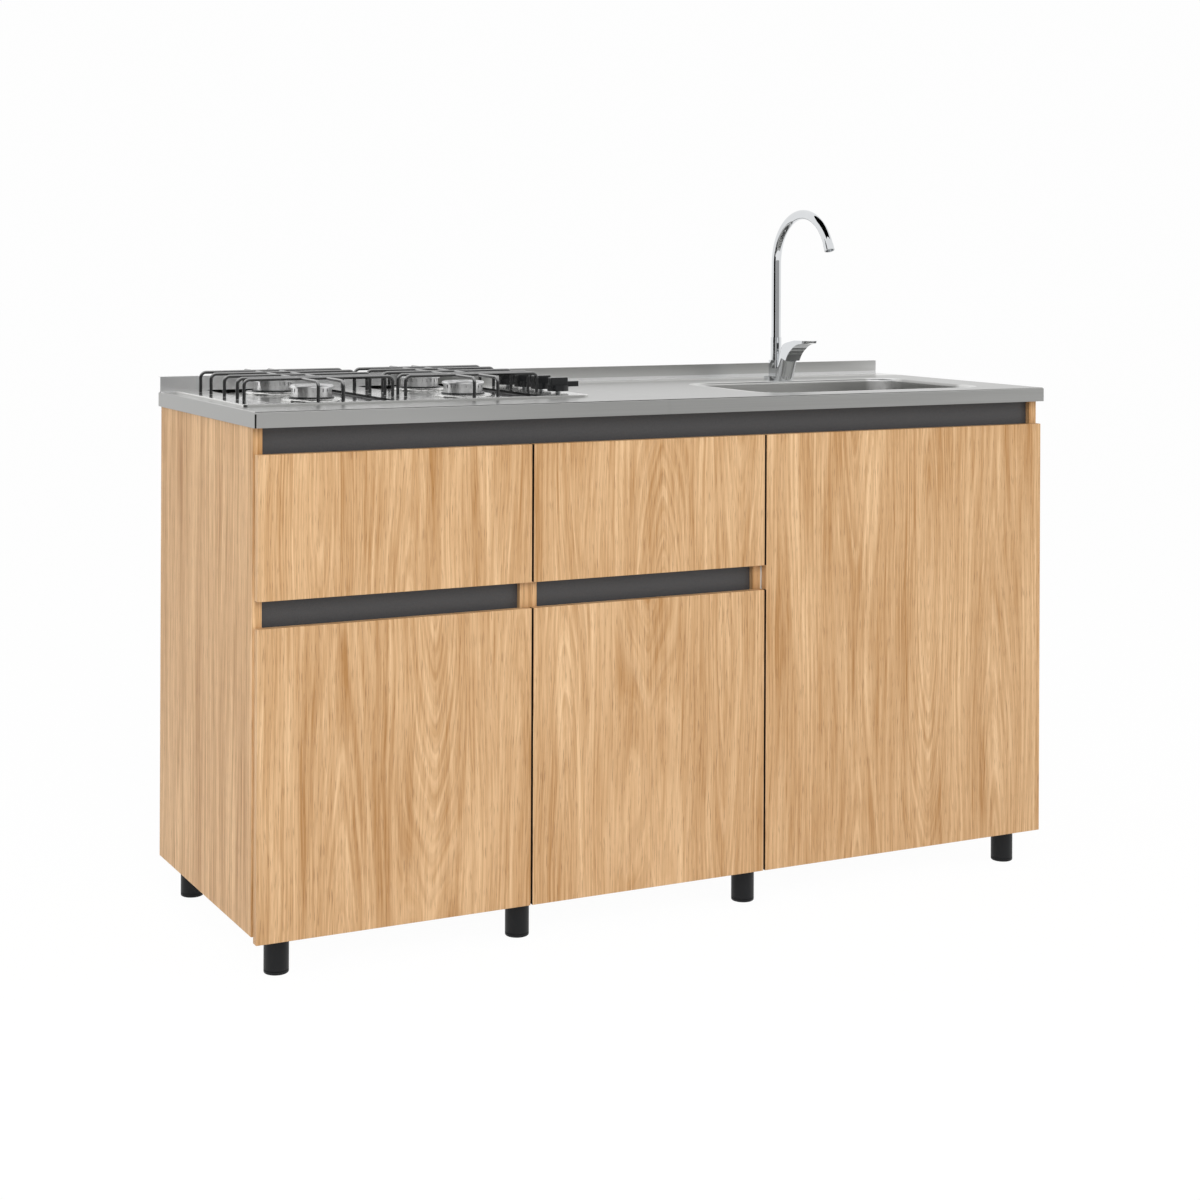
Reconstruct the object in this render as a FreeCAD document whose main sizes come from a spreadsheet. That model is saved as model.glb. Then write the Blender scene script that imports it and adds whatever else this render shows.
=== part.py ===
"""Kitchen base cabinet: three oak-faced modules under one stainless worktop with hob, sink and tap.

Frame: millimetres, +X to the right seen from the front, +Y to the wall, +Z up.
The origin is on the floor, in the middle of the worktop's plan.
"""
import FreeCAD, Part
import math
import os

import Sketcher

doc = FreeCAD.newDocument("kitchen_base_cabinet")
dims = doc.addObject("Spreadsheet::Sheet", "dims")
parts = {}


class Size:
    """A number together with the sheet formula that gives it."""

    def __init__(self, formula, value):
        self.formula = formula
        self.value = value

    def __add__(self, other):
        other = as_size(other)
        return Size(f"({self.formula} + {other.formula})", self.value + other.value)

    def __sub__(self, other):
        other = as_size(other)
        return Size(f"({self.formula} - {other.formula})", self.value - other.value)

    def __mul__(self, other):
        other = as_size(other)
        return Size(f"({self.formula} * {other.formula})", self.value * other.value)

    def __truediv__(self, other):
        other = as_size(other)
        return Size(f"({self.formula} / {other.formula})", self.value / other.value)

    def __neg__(self):
        return Size(f"(0 - {self.formula})", -self.value)

    def __radd__(self, other):
        return as_size(other) + self

    def __rsub__(self, other):
        return as_size(other) - self

    def __rmul__(self, other):
        return as_size(other) * self


def as_size(amount):
    """Let a plain number stand where a Size is wanted."""
    return amount if isinstance(amount, Size) else Size(repr(amount), amount)


def sine(angle):
    """Sine of an angle held in degrees."""
    return Size(f"sin({angle.formula} * 1 deg)", math.sin(math.radians(angle.value)))


def cosine(angle):
    """Cosine of an angle held in degrees."""
    return Size(f"cos({angle.formula} * 1 deg)", math.cos(math.radians(angle.value)))


aliases = []


def size(alias, number):
    """Write one driving dimension into the sheet and hand it back."""
    aliases.append(alias)
    row = len(aliases)
    dims.set(f"A{row}", alias)
    dims.set(f"B{row}", str(number))
    dims.setAlias(f"B{row}", alias)
    return Size(f"dims.{alias}", number)


# Worktop
worktop_width = size("worktop_width", 1500)
worktop_depth = size("worktop_depth", 520)
skirt_height = size("skirt_height", 25)
steel_sheet = size("steel_sheet", 1.2)
bend_radius = size("bend_radius", 3)
upstand_height = size("upstand_height", 26)
upstand_depth = size("upstand_depth", 10)
upstand_short = size("upstand_short", 15)
batten_width = size("batten_width", 46)
batten_rear_width = size("batten_rear_width", 38)
batten_inset = size("batten_inset", 3)

# Carcass
leg_height = size("leg_height", 67)
carcass_height = size("carcass_height", 773)
board = size("board", 15)
back_board = size("back_board", 3)
left_overhang = size("left_overhang", 4)
right_overhang = size("right_overhang", 2)
carcass_set_back = size("carcass_set_back", 20)
wall_gap = size("wall_gap", 4)
module_c_width = size("module_c_width", 591)
module_step = size("module_step", 25)
back_gap = size("back_gap", 1)
rail_height = size("rail_height", 65)
rail_recess = size("rail_recess", 10)
rear_rail_height = size("rear_rail_height", 70)
wall_hole_radius = size("wall_hole_radius", 4)
wall_hole_spacing = size("wall_hole_spacing", 900)
shelf_set_back = size("shelf_set_back", 45)
service_width = size("service_width", 320)
service_height = size("service_height", 220)

# Legs
leg_radius = size("leg_radius", 19.5)
leg_flange_radius = size("leg_flange_radius", 23.5)
leg_flange_height = size("leg_flange_height", 5)
leg_foot_round = size("leg_foot_round", 2.5)
leg_foot_height = size("leg_foot_height", 5)
leg_groove = size("leg_groove", 1)
leg_end_inset = size("leg_end_inset", 49)
leg_right_inset = size("leg_right_inset", 54.5)
leg_joint_shift = size("leg_joint_shift", 6)
leg_sink_shift = size("leg_sink_shift", 17.5)
leg_front_inset = size("leg_front_inset", 25)
leg_rear_inset = size("leg_rear_inset", 30)

# Drawer fronts and doors
front_board = size("front_board", 15)
front_clear = size("front_clear", 2)
front_gap = size("front_gap", 3.3)
front_inset = size("front_inset", 2.5)
front_drop = size("front_drop", 9)
front_round = size("front_round", 0.8)
rail_reveal = size("rail_reveal", 41)
drawer_front_height = size("drawer_front_height", 222)
strip_reveal = size("strip_reveal", 41.5)
strip_lap = size("strip_lap", 10)

# Drawer boxes and runners
drawer_board = size("drawer_board", 12)
drawer_depth = size("drawer_depth", 440)
drawer_height = size("drawer_height", 130)
drawer_lift = size("drawer_lift", 26)
drawer_floor = size("drawer_floor", 3)
floor_groove = size("floor_groove", 8)
runner_length = size("runner_length", 400)
runner_height = size("runner_height", 45)
runner_width = size("runner_width", 12.7)
runner_sheet = size("runner_sheet", 1.2)
runner_play = size("runner_play", 0.4)
runner_set_back = size("runner_set_back", 12)

# Concealed hinges
cup_radius = size("cup_radius", 17.5)
cup_edge = size("cup_edge", 5)
cup_depth = size("cup_depth", 12)
cup_sheet = size("cup_sheet", 1)
cup_play = size("cup_play", 0.05)
cup_flange_width = size("cup_flange_width", 24)
cup_flange_height = size("cup_flange_height", 52)
hinge_end_distance = size("hinge_end_distance", 90)
arm_height = size("arm_height", 14)
arm_thick = size("arm_thick", 4)
arm_pivot_inset = size("arm_pivot_inset", 28)
arm_pivot_depth = size("arm_pivot_depth", 7.5)
arm_tip = size("arm_tip", 3)
arm_foot_start = size("arm_foot_start", 15)
arm_foot_end = size("arm_foot_end", 50)
fork_gap = size("fork_gap", 7.6)
fork_root = size("fork_root", 5.5)
link_height = size("link_height", 7)
link_length = size("link_length", 17)
link_angle = size("link_angle", 12.5)
link_eye_radius = size("link_eye_radius", 2.6)
link_tip_radius = size("link_tip_radius", 1.6)
hinge_pin_radius = size("hinge_pin_radius", 1.5)
pivot_play = size("pivot_play", 0.05)

# Hob
hob_left_inset = size("hob_left_inset", 15)
hob_width = size("hob_width", 605)
hob_depth = size("hob_depth", 384)
hob_front_inset = size("hob_front_inset", 98)
hob_rise = size("hob_rise", 4)
hob_sheet = size("hob_sheet", 1)
hob_corner = size("hob_corner", 12)
hob_lap = size("hob_lap", 8)
basin_inset = size("basin_inset", 52)
basin_left_width = size("basin_left_width", 204)
basin_right_width = size("basin_right_width", 190)
basin_gap = size("basin_gap", 73)
basin_end_inset = size("basin_end_inset", 11)
basin_depth = size("basin_depth", 5)
basin_corner = size("basin_corner", 14)
basin_floor_round = size("basin_floor_round", 2)
burner_front = size("burner_front", 120)
burner_pitch = size("burner_pitch", 190)
burner_boss_radius = size("burner_boss_radius", 50)
burner_boss_height = size("burner_boss_height", 4.5)
burner_boss_round = size("burner_boss_round", 4)
burner_ring_radius = size("burner_ring_radius", 37)
burner_ring_height = size("burner_ring_height", 2.5)
burner_throat_radius = size("burner_throat_radius", 22)
burner_throat_depth = size("burner_throat_depth", 21)
burner_hole_play = size("burner_hole_play", 0.4)
crown_radius = size("crown_radius", 36)
crown_height = size("crown_height", 19)
crown_cap_height = size("crown_cap_height", 5)
crown_cap_round = size("crown_cap_round", 3)
flame_slot_width = size("flame_slot_width", 2.4)
flame_slot_height = size("flame_slot_height", 6)
flame_slot_depth = size("flame_slot_depth", 8)
flame_slots = size("flame_slots", 24)

# Pan grates
wire_radius = size("wire_radius", 2.75)
wire_bend = size("wire_bend", 9)
grate_height = size("grate_height", 36)
grate_side_reach = size("grate_side_reach", 25)
grate_bar_half = size("grate_bar_half", 21)
grate_bar_shift = size("grate_bar_shift", 9)
grate_bar_drop = size("grate_bar_drop", 1.2)
wire_rows = [
    size("wire_row_front", 82),
    size("wire_row_near", 116),
    size("wire_row_middle", 184),
    hob_depth - size("wire_row_far", 127),
    hob_depth - size("wire_row_back", 69),
]
seat_play = size("seat_play", 0.3)

# Gas valves and knobs
knob_inset = size("knob_inset", 30)
knob_front = size("knob_front", 63)
knob_pitch = size("knob_pitch", 66)
knob_radius = size("knob_radius", 18)
knob_height = size("knob_height", 23)
knob_lift = size("knob_lift", 3.5)
knob_top_round = size("knob_top_round", 2)
knob_bar_width = size("knob_bar_width", 7)
knob_bar_reach = size("knob_bar_reach", 38)
knob_disc_height = size("knob_disc_height", 10)
knob_grip_width = size("knob_grip_width", 15)
knob_grip_half = size("knob_grip_half", 16)
knob_bar_base = size("knob_bar_base", 7)
knob_bar_height = size("knob_bar_height", 9)
knob_bore_depth = size("knob_bore_depth", 18)
spindle_radius = size("spindle_radius", 4)
spindle_play = size("spindle_play", 0.05)
spindle_depth = size("spindle_depth", 24)
spindle_hole_play = size("spindle_hole_play", 2)
valve_width = size("valve_width", 22)
valve_height = size("valve_height", 38)
valve_bore_depth = size("valve_bore_depth", 30)
manifold_radius = size("manifold_radius", 9)
manifold_boss = size("manifold_boss", 11)
manifold_end = size("manifold_end", 40)
gas_inlet_radius = size("gas_inlet_radius", 10.5)
gas_inlet_length = size("gas_inlet_length", 20)
gas_collar_radius = size("gas_collar_radius", 13)
gas_collar_height = size("gas_collar_height", 4)

# Sink bowl and waste
bowl_width = size("bowl_width", 450)
bowl_length = size("bowl_length", 288)
bowl_depth = size("bowl_depth", 160)
bowl_right_inset = size("bowl_right_inset", 95)
bowl_front_inset = size("bowl_front_inset", 67)
bowl_corner = size("bowl_corner", 45)
bowl_rim = size("bowl_rim", 5)
bowl_floor_round = size("bowl_floor_round", 26)
bowl_flange = size("bowl_flange", 14)
waste_hole_radius = size("waste_hole_radius", 43)
waste_flange_radius = size("waste_flange_radius", 56)
waste_flange_height = size("waste_flange_height", 2)
waste_wall = size("waste_wall", 2)
waste_play = size("waste_play", 0.3)
waste_depth = size("waste_depth", 44)
waste_tail_radius = size("waste_tail_radius", 24)
waste_tail_length = size("waste_tail_length", 40)
waste_nut_radius = size("waste_nut_radius", 52)
waste_nut_height = size("waste_nut_height", 12)
strainer_depth = size("strainer_depth", 32)
strainer_wall = size("strainer_wall", 1)
strainer_post_radius = size("strainer_post_radius", 5)
strainer_post_height = size("strainer_post_height", 30)
strainer_hole_radius = size("strainer_hole_radius", 2.5)
strainer_hole_circle = size("strainer_hole_circle", 24)
strainer_holes = size("strainer_holes", 12)

# Tap
tap_right_inset = size("tap_right_inset", 320)
tap_behind_bowl = size("tap_behind_bowl", 50)
tap_foot_radius = size("tap_foot_radius", 23)
tap_foot_height = size("tap_foot_height", 6)
riser_radius = size("riser_radius", 14)
riser_height = size("riser_height", 38)
housing_front = size("housing_front", 27)
housing_radius = size("housing_radius", 17)
housing_length = size("housing_length", 46)
housing_lean = size("housing_lean", 20)
web_height = size("web_height", 23)
ball_radius = size("ball_radius", 12.5)
ball_rise = size("ball_rise", 5)
cartridge_radius = size("cartridge_radius", 9)
cartridge_length = size("cartridge_length", 20)
lever_half_width = size("lever_half_width", 16)
lever_drop = size("lever_drop", 4)
lever_back_lift = size("lever_back_lift", 4)
lever_shoulder_back = size("lever_shoulder_back", 1)
lever_shoulder_rise = size("lever_shoulder_rise", 25)
lever_crest_reach = size("lever_crest_reach", 31)
lever_crest_rise = size("lever_crest_rise", 44)
lever_tip_reach = size("lever_tip_reach", 69)
lever_tip_rise = size("lever_tip_rise", 58)
lever_tip_thick = size("lever_tip_thick", 4.5)
lever_under_reach = size("lever_under_reach", 38)
lever_under_rise = size("lever_under_rise", 38)
lever_throat_reach = size("lever_throat_reach", 20)
lever_throat_rise = size("lever_throat_rise", 13)
lever_curve = size("lever_curve", 50)
lever_edge_round = size("lever_edge_round", 1.5)
pipe_radius = size("pipe_radius", 9)
sleeve_radius = size("sleeve_radius", 10.3)
sleeve_height = size("sleeve_height", 43)
spigot_radius = size("spigot_radius", 7)
spigot_length = size("spigot_length", 22)
arch_radius = size("arch_radius", 93)
arch_rise = size("arch_rise", 223)
arch_turn = size("arch_turn", 157)
aerator_radius = size("aerator_radius", 9.6)
aerator_length = size("aerator_length", 12)
aerator_bore = size("aerator_bore", 7.5)
aerator_recess = size("aerator_recess", 5)
shank_radius = size("shank_radius", 15.5)
shank_length = size("shank_length", 42)
shank_play = size("shank_play", 1.5)
tail_hole_radius = size("tail_hole_radius", 4.5)
tail_hole_depth = size("tail_hole_depth", 16)
tail_hole_offset = size("tail_hole_offset", 7)
tap_nut_radius = size("tap_nut_radius", 26)
tap_nut_height = size("tap_nut_height", 9)

doc.recompute()

# Planes that many pieces share
left_end = -(worktop_width / 2)
right_end = worktop_width / 2
front_end = -(worktop_depth / 2)
back_end = worktop_depth / 2
carcass_top = leg_height + carcass_height
deck_top = carcass_top + skirt_height
deck_under = deck_top - steel_sheet
carcass_left = left_end + left_overhang
carcass_right = right_end - right_overhang
joint_bc = carcass_right - module_c_width
joint_ab = carcass_left + (joint_bc - carcass_left + module_step) / 2
carcass_front = front_end + carcass_set_back
carcass_back = back_end - wall_gap
carcass_depth = carcass_back - carcass_front
rail_front = carcass_front + rail_recess
rail_bottom = carcass_top - rail_height
rear_rail_bottom = carcass_top - rear_rail_height
rear_rail_front = carcass_back - board
front_back_plane = carcass_front - front_clear
front_face_plane = front_back_plane - front_board
drawer_front_top = carcass_top - rail_reveal
drawer_front_bottom = drawer_front_top - drawer_front_height
door_top = drawer_front_bottom - strip_reveal
door_bottom = leg_height - front_drop

# Inner faces of each module, and the outline of its front
modules = {
    "a": {
        "left": carcass_left,
        "right": joint_ab,
        "front_left": carcass_left + front_inset,
        "front_right": joint_ab - front_gap / 2,
    },
    "b": {
        "left": joint_ab,
        "right": joint_bc,
        "front_left": joint_ab + front_gap / 2,
        "front_right": joint_bc - front_gap / 2,
    },
    "c": {
        "left": joint_bc,
        "right": carcass_right,
        "front_left": joint_bc + front_gap / 2,
        "front_right": carcass_right - front_inset,
    },
}
for module in modules.values():
    module["inner_left"] = module["left"] + board
    module["inner_right"] = module["right"] - board


def bind(obj, prop, amount):
    """Tie a property to the sheet."""
    obj.setExpression(prop, as_size(amount).formula)


def place(obj, x=0, y=0, z=0):
    """Tie an object's position to the sheet."""
    for axis, amount in (("x", x), ("y", y), ("z", z)):
        bind(obj, f"Placement.Base.{axis}", amount)
    return obj


def keep(name, obj):
    """Make an object a named piece of the cabinet."""
    obj.Label = name
    parts[name] = obj
    return obj


def block(name, x, y, z, length, width, height):
    """A plain rectangular piece with its low corner at x, y, z."""
    obj = doc.addObject("Part::Box", name)
    bind(obj, "Length", length)
    bind(obj, "Width", width)
    bind(obj, "Height", height)
    return place(obj, x, y, z)


def rod(name, x, y, z, radius, height, direction=(0, 0, 1)):
    """A plain cylinder that starts at x, y, z and runs along direction."""
    obj = doc.addObject("Part::Cylinder", name)
    bind(obj, "Radius", radius)
    bind(obj, "Height", height)
    up = FreeCAD.Vector(0, 0, 1)
    obj.Placement.Rotation = FreeCAD.Rotation(up, FreeCAD.Vector(*direction))
    return place(obj, x, y, z)


def cut(name, base, tool):
    """One solid less another."""
    obj = doc.addObject("Part::Cut", name)
    obj.Base = base
    obj.Tool = tool
    return obj


def group(name, members, kind="Part::Compound"):
    """Several solids kept side by side, or fused with kind Part::MultiFuse."""
    obj = doc.addObject(kind, name)
    if kind == "Part::Compound":
        obj.Links = members
    else:
        obj.Shapes = members
    return obj


def new_body(name, x=0, y=0, z=0):
    """An empty PartDesign body at a position tied to the sheet."""
    return place(doc.addObject("PartDesign::Body", f"{name}_body"), x, y, z)


def plane_of(body, role):
    """One of the body's own origin planes."""
    for feature in body.Origin.OriginFeatures:
        if feature.Role == role:
            return feature
    raise ValueError(role)


def sketch_on(body, role, offset=0):
    """An empty sketch on an origin plane, moved along the plane's normal."""
    sketch = body.newObject("Sketcher::SketchObject", f"{body.Name}_sketch")
    sketch.AttachmentSupport = [(plane_of(body, role), "")]
    sketch.MapMode = "FlatFace"
    bind(sketch, "AttachmentOffset.Base.z", offset)
    return sketch


def pin(sketch, axis, geometry, point, amount):
    """Hold one coordinate of a sketch point at a size from the sheet."""
    amount = as_size(amount)
    if abs(amount.value) < 1e-9:
        sketch.addConstraint(Sketcher.Constraint("PointOnObject", geometry, point, -2 if axis == "X" else -1))
        return
    if amount.value > 0:
        ends = (-1, 1, geometry, point)
    else:
        ends = (geometry, point, -1, 1)
        amount = -amount
    index = sketch.addConstraint(Sketcher.Constraint(f"Distance{axis}", *ends, amount.value))
    bind(sketch, f"Constraints[{index}]", amount)


def vector(x, y):
    """A sketch point from two sizes."""
    return FreeCAD.Vector(as_size(x).value, as_size(y).value, 0)


def draw_polygon(sketch, points):
    """A closed outline of straight edges."""
    count = len(points)
    first = sketch.GeometryCount
    for index in range(count):
        start, end = points[index], points[(index + 1) % count]
        sketch.addGeometry(Part.LineSegment(vector(*start), vector(*end)), False)
    for index in range(count):
        here, following = first + index, first + (index + 1) % count
        sketch.addConstraint(Sketcher.Constraint("Coincident", here, 2, following, 1))
        pin(sketch, "X", here, 1, points[index][0])
        pin(sketch, "Y", here, 1, points[index][1])


def draw_circle(sketch, x, y, radius):
    """A circle with its centre and radius tied to the sheet."""
    radius = as_size(radius)
    circle = Part.Circle(vector(x, y), FreeCAD.Vector(0, 0, 1), radius.value)
    geometry = sketch.addGeometry(circle, False)
    pin(sketch, "X", geometry, 3, x)
    pin(sketch, "Y", geometry, 3, y)
    index = sketch.addConstraint(Sketcher.Constraint("Radius", geometry, radius.value))
    bind(sketch, f"Constraints[{index}]", radius)


def draw_rounded(sketch, points, radius, closed=True):
    """Runs along X and Y, joined by arcs of one radius: a rounded outline, or a bent wire's line."""
    radius = as_size(radius)
    count = len(points)
    corners = [vector(*point) for point in points]
    runs = count if closed else count - 1
    lines = []
    for index in range(runs):
        start, end = corners[index], corners[(index + 1) % count]
        along = (end - start).normalize() * radius.value
        if closed or index > 0:
            start = start + along
        if closed or index < runs - 1:
            end = end - along
        lines.append(sketch.addGeometry(Part.LineSegment(start, end), False))
    for index in range(runs if closed else runs - 1):
        line, following = lines[index], lines[(index + 1) % runs]
        corner = corners[(index + 1) % count]
        before = (corner - corners[index]).normalize()
        after = (corners[(index + 2) % count] - corner).normalize()
        centre = corner + (after - before) * radius.value
        turns_left = before.x * after.y - before.y * after.x > 0
        outward = -after if turns_left else before
        start_angle = math.atan2(outward.y, outward.x)
        circle = Part.Circle(centre, FreeCAD.Vector(0, 0, 1), radius.value)
        arc_shape = Part.ArcOfCircle(circle, start_angle, start_angle + math.pi / 2)
        arc = sketch.addGeometry(arc_shape, False)
        enters, leaves = (1, 2) if turns_left else (2, 1)
        sketch.addConstraint(Sketcher.Constraint("Tangent", line, 2, arc, enters))
        sketch.addConstraint(Sketcher.Constraint("Tangent", arc, leaves, following, 1))
        index_radius = sketch.addConstraint(Sketcher.Constraint("Radius", arc, radius.value))
        bind(sketch, f"Constraints[{index_radius}]", radius)
    for index, line in enumerate(lines):
        run = corners[(index + 1) % count] - corners[index]
        level = abs(run.x) > abs(run.y)
        sketch.addConstraint(Sketcher.Constraint("Horizontal" if level else "Vertical", line))
        axis, place_in_point = ("Y", 1) if level else ("X", 0)
        pin(sketch, axis, line, 1, points[index][place_in_point])
        other_axis, other_place = ("X", 0) if level else ("Y", 1)
        if not closed and index == 0:
            pin(sketch, other_axis, line, 1, points[0][other_place])
        if not closed and index == runs - 1:
            pin(sketch, other_axis, line, 2, points[-1][other_place])


def rectangle(x0, y0, x1, y1):
    """Corner points of a rectangle, anticlockwise."""
    return [(x0, y0), (x1, y0), (x1, y1), (x0, y1)]


def pad(body, sketch, length, reverse=False, both_sides=False):
    """Push a sketch out along its normal."""
    feature = body.newObject("PartDesign::Pad", f"{body.Name}_pad")
    feature.Profile = sketch
    bind(feature, "Length", length)
    feature.Reversed = reverse
    feature.Midplane = both_sides
    return feature


def pocket(body, sketch, length, reverse=False, both_sides=False):
    """Cut a sketch into the body, against its normal."""
    feature = body.newObject("PartDesign::Pocket", f"{body.Name}_pocket")
    feature.Profile = sketch
    bind(feature, "Length", length)
    feature.Reversed = reverse
    feature.Midplane = both_sides
    return feature


def turn(body, points, kind="PartDesign::Revolution"):
    """Turn a half section, drawn as radius and height, about the body's Z axis."""
    sketch = sketch_on(body, "XZ_Plane")
    draw_polygon(sketch, points)
    feature = body.newObject(kind, f"{body.Name}_turned")
    feature.Profile = sketch
    feature.ReferenceAxis = (sketch, ["V_Axis"])
    feature.Angle = 360
    return feature


def around(body, feature, count):
    """Repeat a feature round the body's Z axis."""
    pattern = body.newObject("PartDesign::PolarPattern", f"{body.Name}_ring")
    pattern.Originals = [feature]
    axis = next(line for line in body.Origin.OriginFeatures if line.Role == "Z_Axis")
    pattern.Axis = (axis, [""])
    pattern.Angle = 360
    bind(pattern, "Occurrences", count)
    body.Tip = pattern
    return pattern


def edges_where(feature, test):
    """Names of a feature's edges whose middle and direction pass a test."""
    doc.recompute()
    names = []
    for index, edge in enumerate(feature.Shape.Edges, start=1):
        middle = edge.valueAt((edge.FirstParameter + edge.LastParameter) / 2)
        if test(edge, middle):
            names.append(f"Edge{index}")
    return names


def faces_where(feature, test):
    """Names of a feature's faces whose centre passes a test."""
    doc.recompute()
    names = []
    for index, face in enumerate(feature.Shape.Faces, start=1):
        if test(face, face.CenterOfMass):
            names.append(f"Face{index}")
    return names


def near(left, right):
    """Whether two lengths agree to a hundredth of a millimetre."""
    return abs(as_size(left).value - as_size(right).value) < 0.01


def soften(body, feature, edge_names, radius):
    """Round the named edges of a feature."""
    fillet = body.newObject("PartDesign::Fillet", f"{body.Name}_round")
    fillet.Base = (feature, edge_names)
    bind(fillet, "Radius", radius)
    return fillet


# Carcass boards


def partition(name, x):
    """An upright board between two modules, notched for the rails that run past it."""
    upright = block(f"{name}_board", x, carcass_front, leg_height, board, carcass_depth, carcass_height)
    rail_notch = block(f"{name}_rail_notch", x, carcass_front, rail_bottom,
                       board, rail_recess + board, rail_height)
    rear_notch = block(f"{name}_rear_notch", x, rear_rail_front, rear_rail_bottom,
                       board, board, rear_rail_height)
    keep(name, cut(name, cut(f"{name}_front_cut", upright, rail_notch), rear_notch))


def carcass():
    """Sides, partitions, bottoms, shelves, rails and backs."""
    for name, x in (("side_panel_left", carcass_left), ("side_panel_right", carcass_right - board)):
        keep(name, block(name, x, carcass_front, leg_height, board, carcass_depth, carcass_height))
    partition("partition_a_right", joint_ab - board)
    partition("partition_b_left", joint_ab)
    partition("partition_b_right", joint_bc - board)
    partition("partition_c_left", joint_bc)

    inner_width = {name: module["inner_right"] - module["inner_left"] for name, module in modules.items()}
    bottoms = [
        block(f"bottom_{name}", module["inner_left"], carcass_front, leg_height,
              inner_width[name], carcass_depth, board)
        for name, module in modules.items()
    ]
    keep("bottom_panels", group("bottom_panels", bottoms))

    shelf_level = (leg_height + board + door_top) / 2
    shelves = [
        block(f"shelf_{name}", modules[name]["inner_left"], carcass_front + shelf_set_back, shelf_level,
              inner_width[name], carcass_depth - shelf_set_back, board)
        for name in "ab"
    ]
    keep("shelves", group("shelves", shelves))

    rail_left = carcass_left + board
    rail_length = carcass_right - carcass_left - 2 * board
    keep("top_rail", block("top_rail", rail_left, rail_front, rail_bottom, rail_length, board, rail_height))
    strip_bottom = door_top - strip_lap
    strip_height = strip_reveal + 2 * strip_lap
    for name in "ab":
        keep(f"grip_strip_{name}",
             block(f"grip_strip_{name}", modules[name]["inner_left"], rail_front, strip_bottom,
                   inner_width[name], board, strip_height))

    rear_board = block("rear_rail_board", rail_left, rear_rail_front, rear_rail_bottom,
                       rail_length, board, rear_rail_height)
    hole_level = carcass_top - rear_rail_height / 2
    holes = [
        rod(f"wall_hole_{index}", side * wall_hole_spacing / 2, rear_rail_front, hole_level,
            wall_hole_radius, board, (0, 1, 0))
        for index, side in enumerate((-1, 1))
    ]
    keep("rear_rail", cut("rear_rail", rear_board, group("wall_holes", holes, "Part::MultiFuse")))

    backs = []
    for name, module in modules.items():
        back = block(f"back_{name}", module["left"] + back_gap, carcass_back, leg_height,
                     module["right"] - module["left"] - 2 * back_gap, back_board,
                     rear_rail_bottom - leg_height)
        if name == "c":
            middle = (module["left"] + module["right"]) / 2
            opening = block("service_opening", middle - service_width / 2, carcass_back,
                            (leg_height + rear_rail_bottom) / 2 - service_height / 2,
                            service_width, back_board, service_height)
            back = cut("back_c_opened", back, opening)
        backs.append(back)
    keep("back_panels", group("back_panels", backs))


def leg(name, x, y):
    """A moulded leg: a screw flange on a round shank, and a softened foot under a thin groove."""
    body = new_body(name, x, y, 0)
    turned = turn(body, [
        (0, 0),
        (leg_radius, 0),
        (leg_radius, leg_foot_height),
        (leg_radius - leg_groove, leg_foot_height),
        (leg_radius - leg_groove, leg_foot_height + leg_groove),
        (leg_radius, leg_foot_height + leg_groove),
        (leg_radius, leg_height - leg_flange_height),
        (leg_flange_radius, leg_height - leg_flange_height),
        (leg_flange_radius, leg_height),
        (0, leg_height),
    ])
    foot = edges_where(turned, lambda edge, middle: near(middle.z, 0) and edge.Length > 1)
    soften(body, turned, foot, leg_foot_round)
    return body


def legs():
    """Four legs in front and four behind, at the ends and under the joints between modules."""
    columns = (
        carcass_left + leg_end_inset,
        joint_ab - leg_joint_shift,
        joint_bc - leg_sink_shift,
        carcass_right - leg_right_inset,
    )
    rows = (carcass_front + leg_front_inset, carcass_back - leg_rear_inset)
    standing = [
        leg(f"leg_{row_index}_{column_index}", x, y)
        for row_index, y in enumerate(rows)
        for column_index, x in enumerate(columns)
    ]
    keep("legs", group("legs", standing))


# Worktop, battens and sink

bowl_right = right_end - bowl_right_inset
bowl_left = bowl_right - bowl_width
bowl_front = front_end + bowl_front_inset
bowl_back = bowl_front + bowl_length
bowl_outer = rectangle(bowl_left - bowl_flange, bowl_front - bowl_flange,
                       bowl_right + bowl_flange, bowl_back + bowl_flange)
hob_left = left_end + hob_left_inset
hob_right = hob_left + hob_width
hob_front = front_end + hob_front_inset
hob_back = hob_front + hob_depth
tap_x = right_end - tap_right_inset
tap_y = bowl_back + tap_behind_bowl


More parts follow.
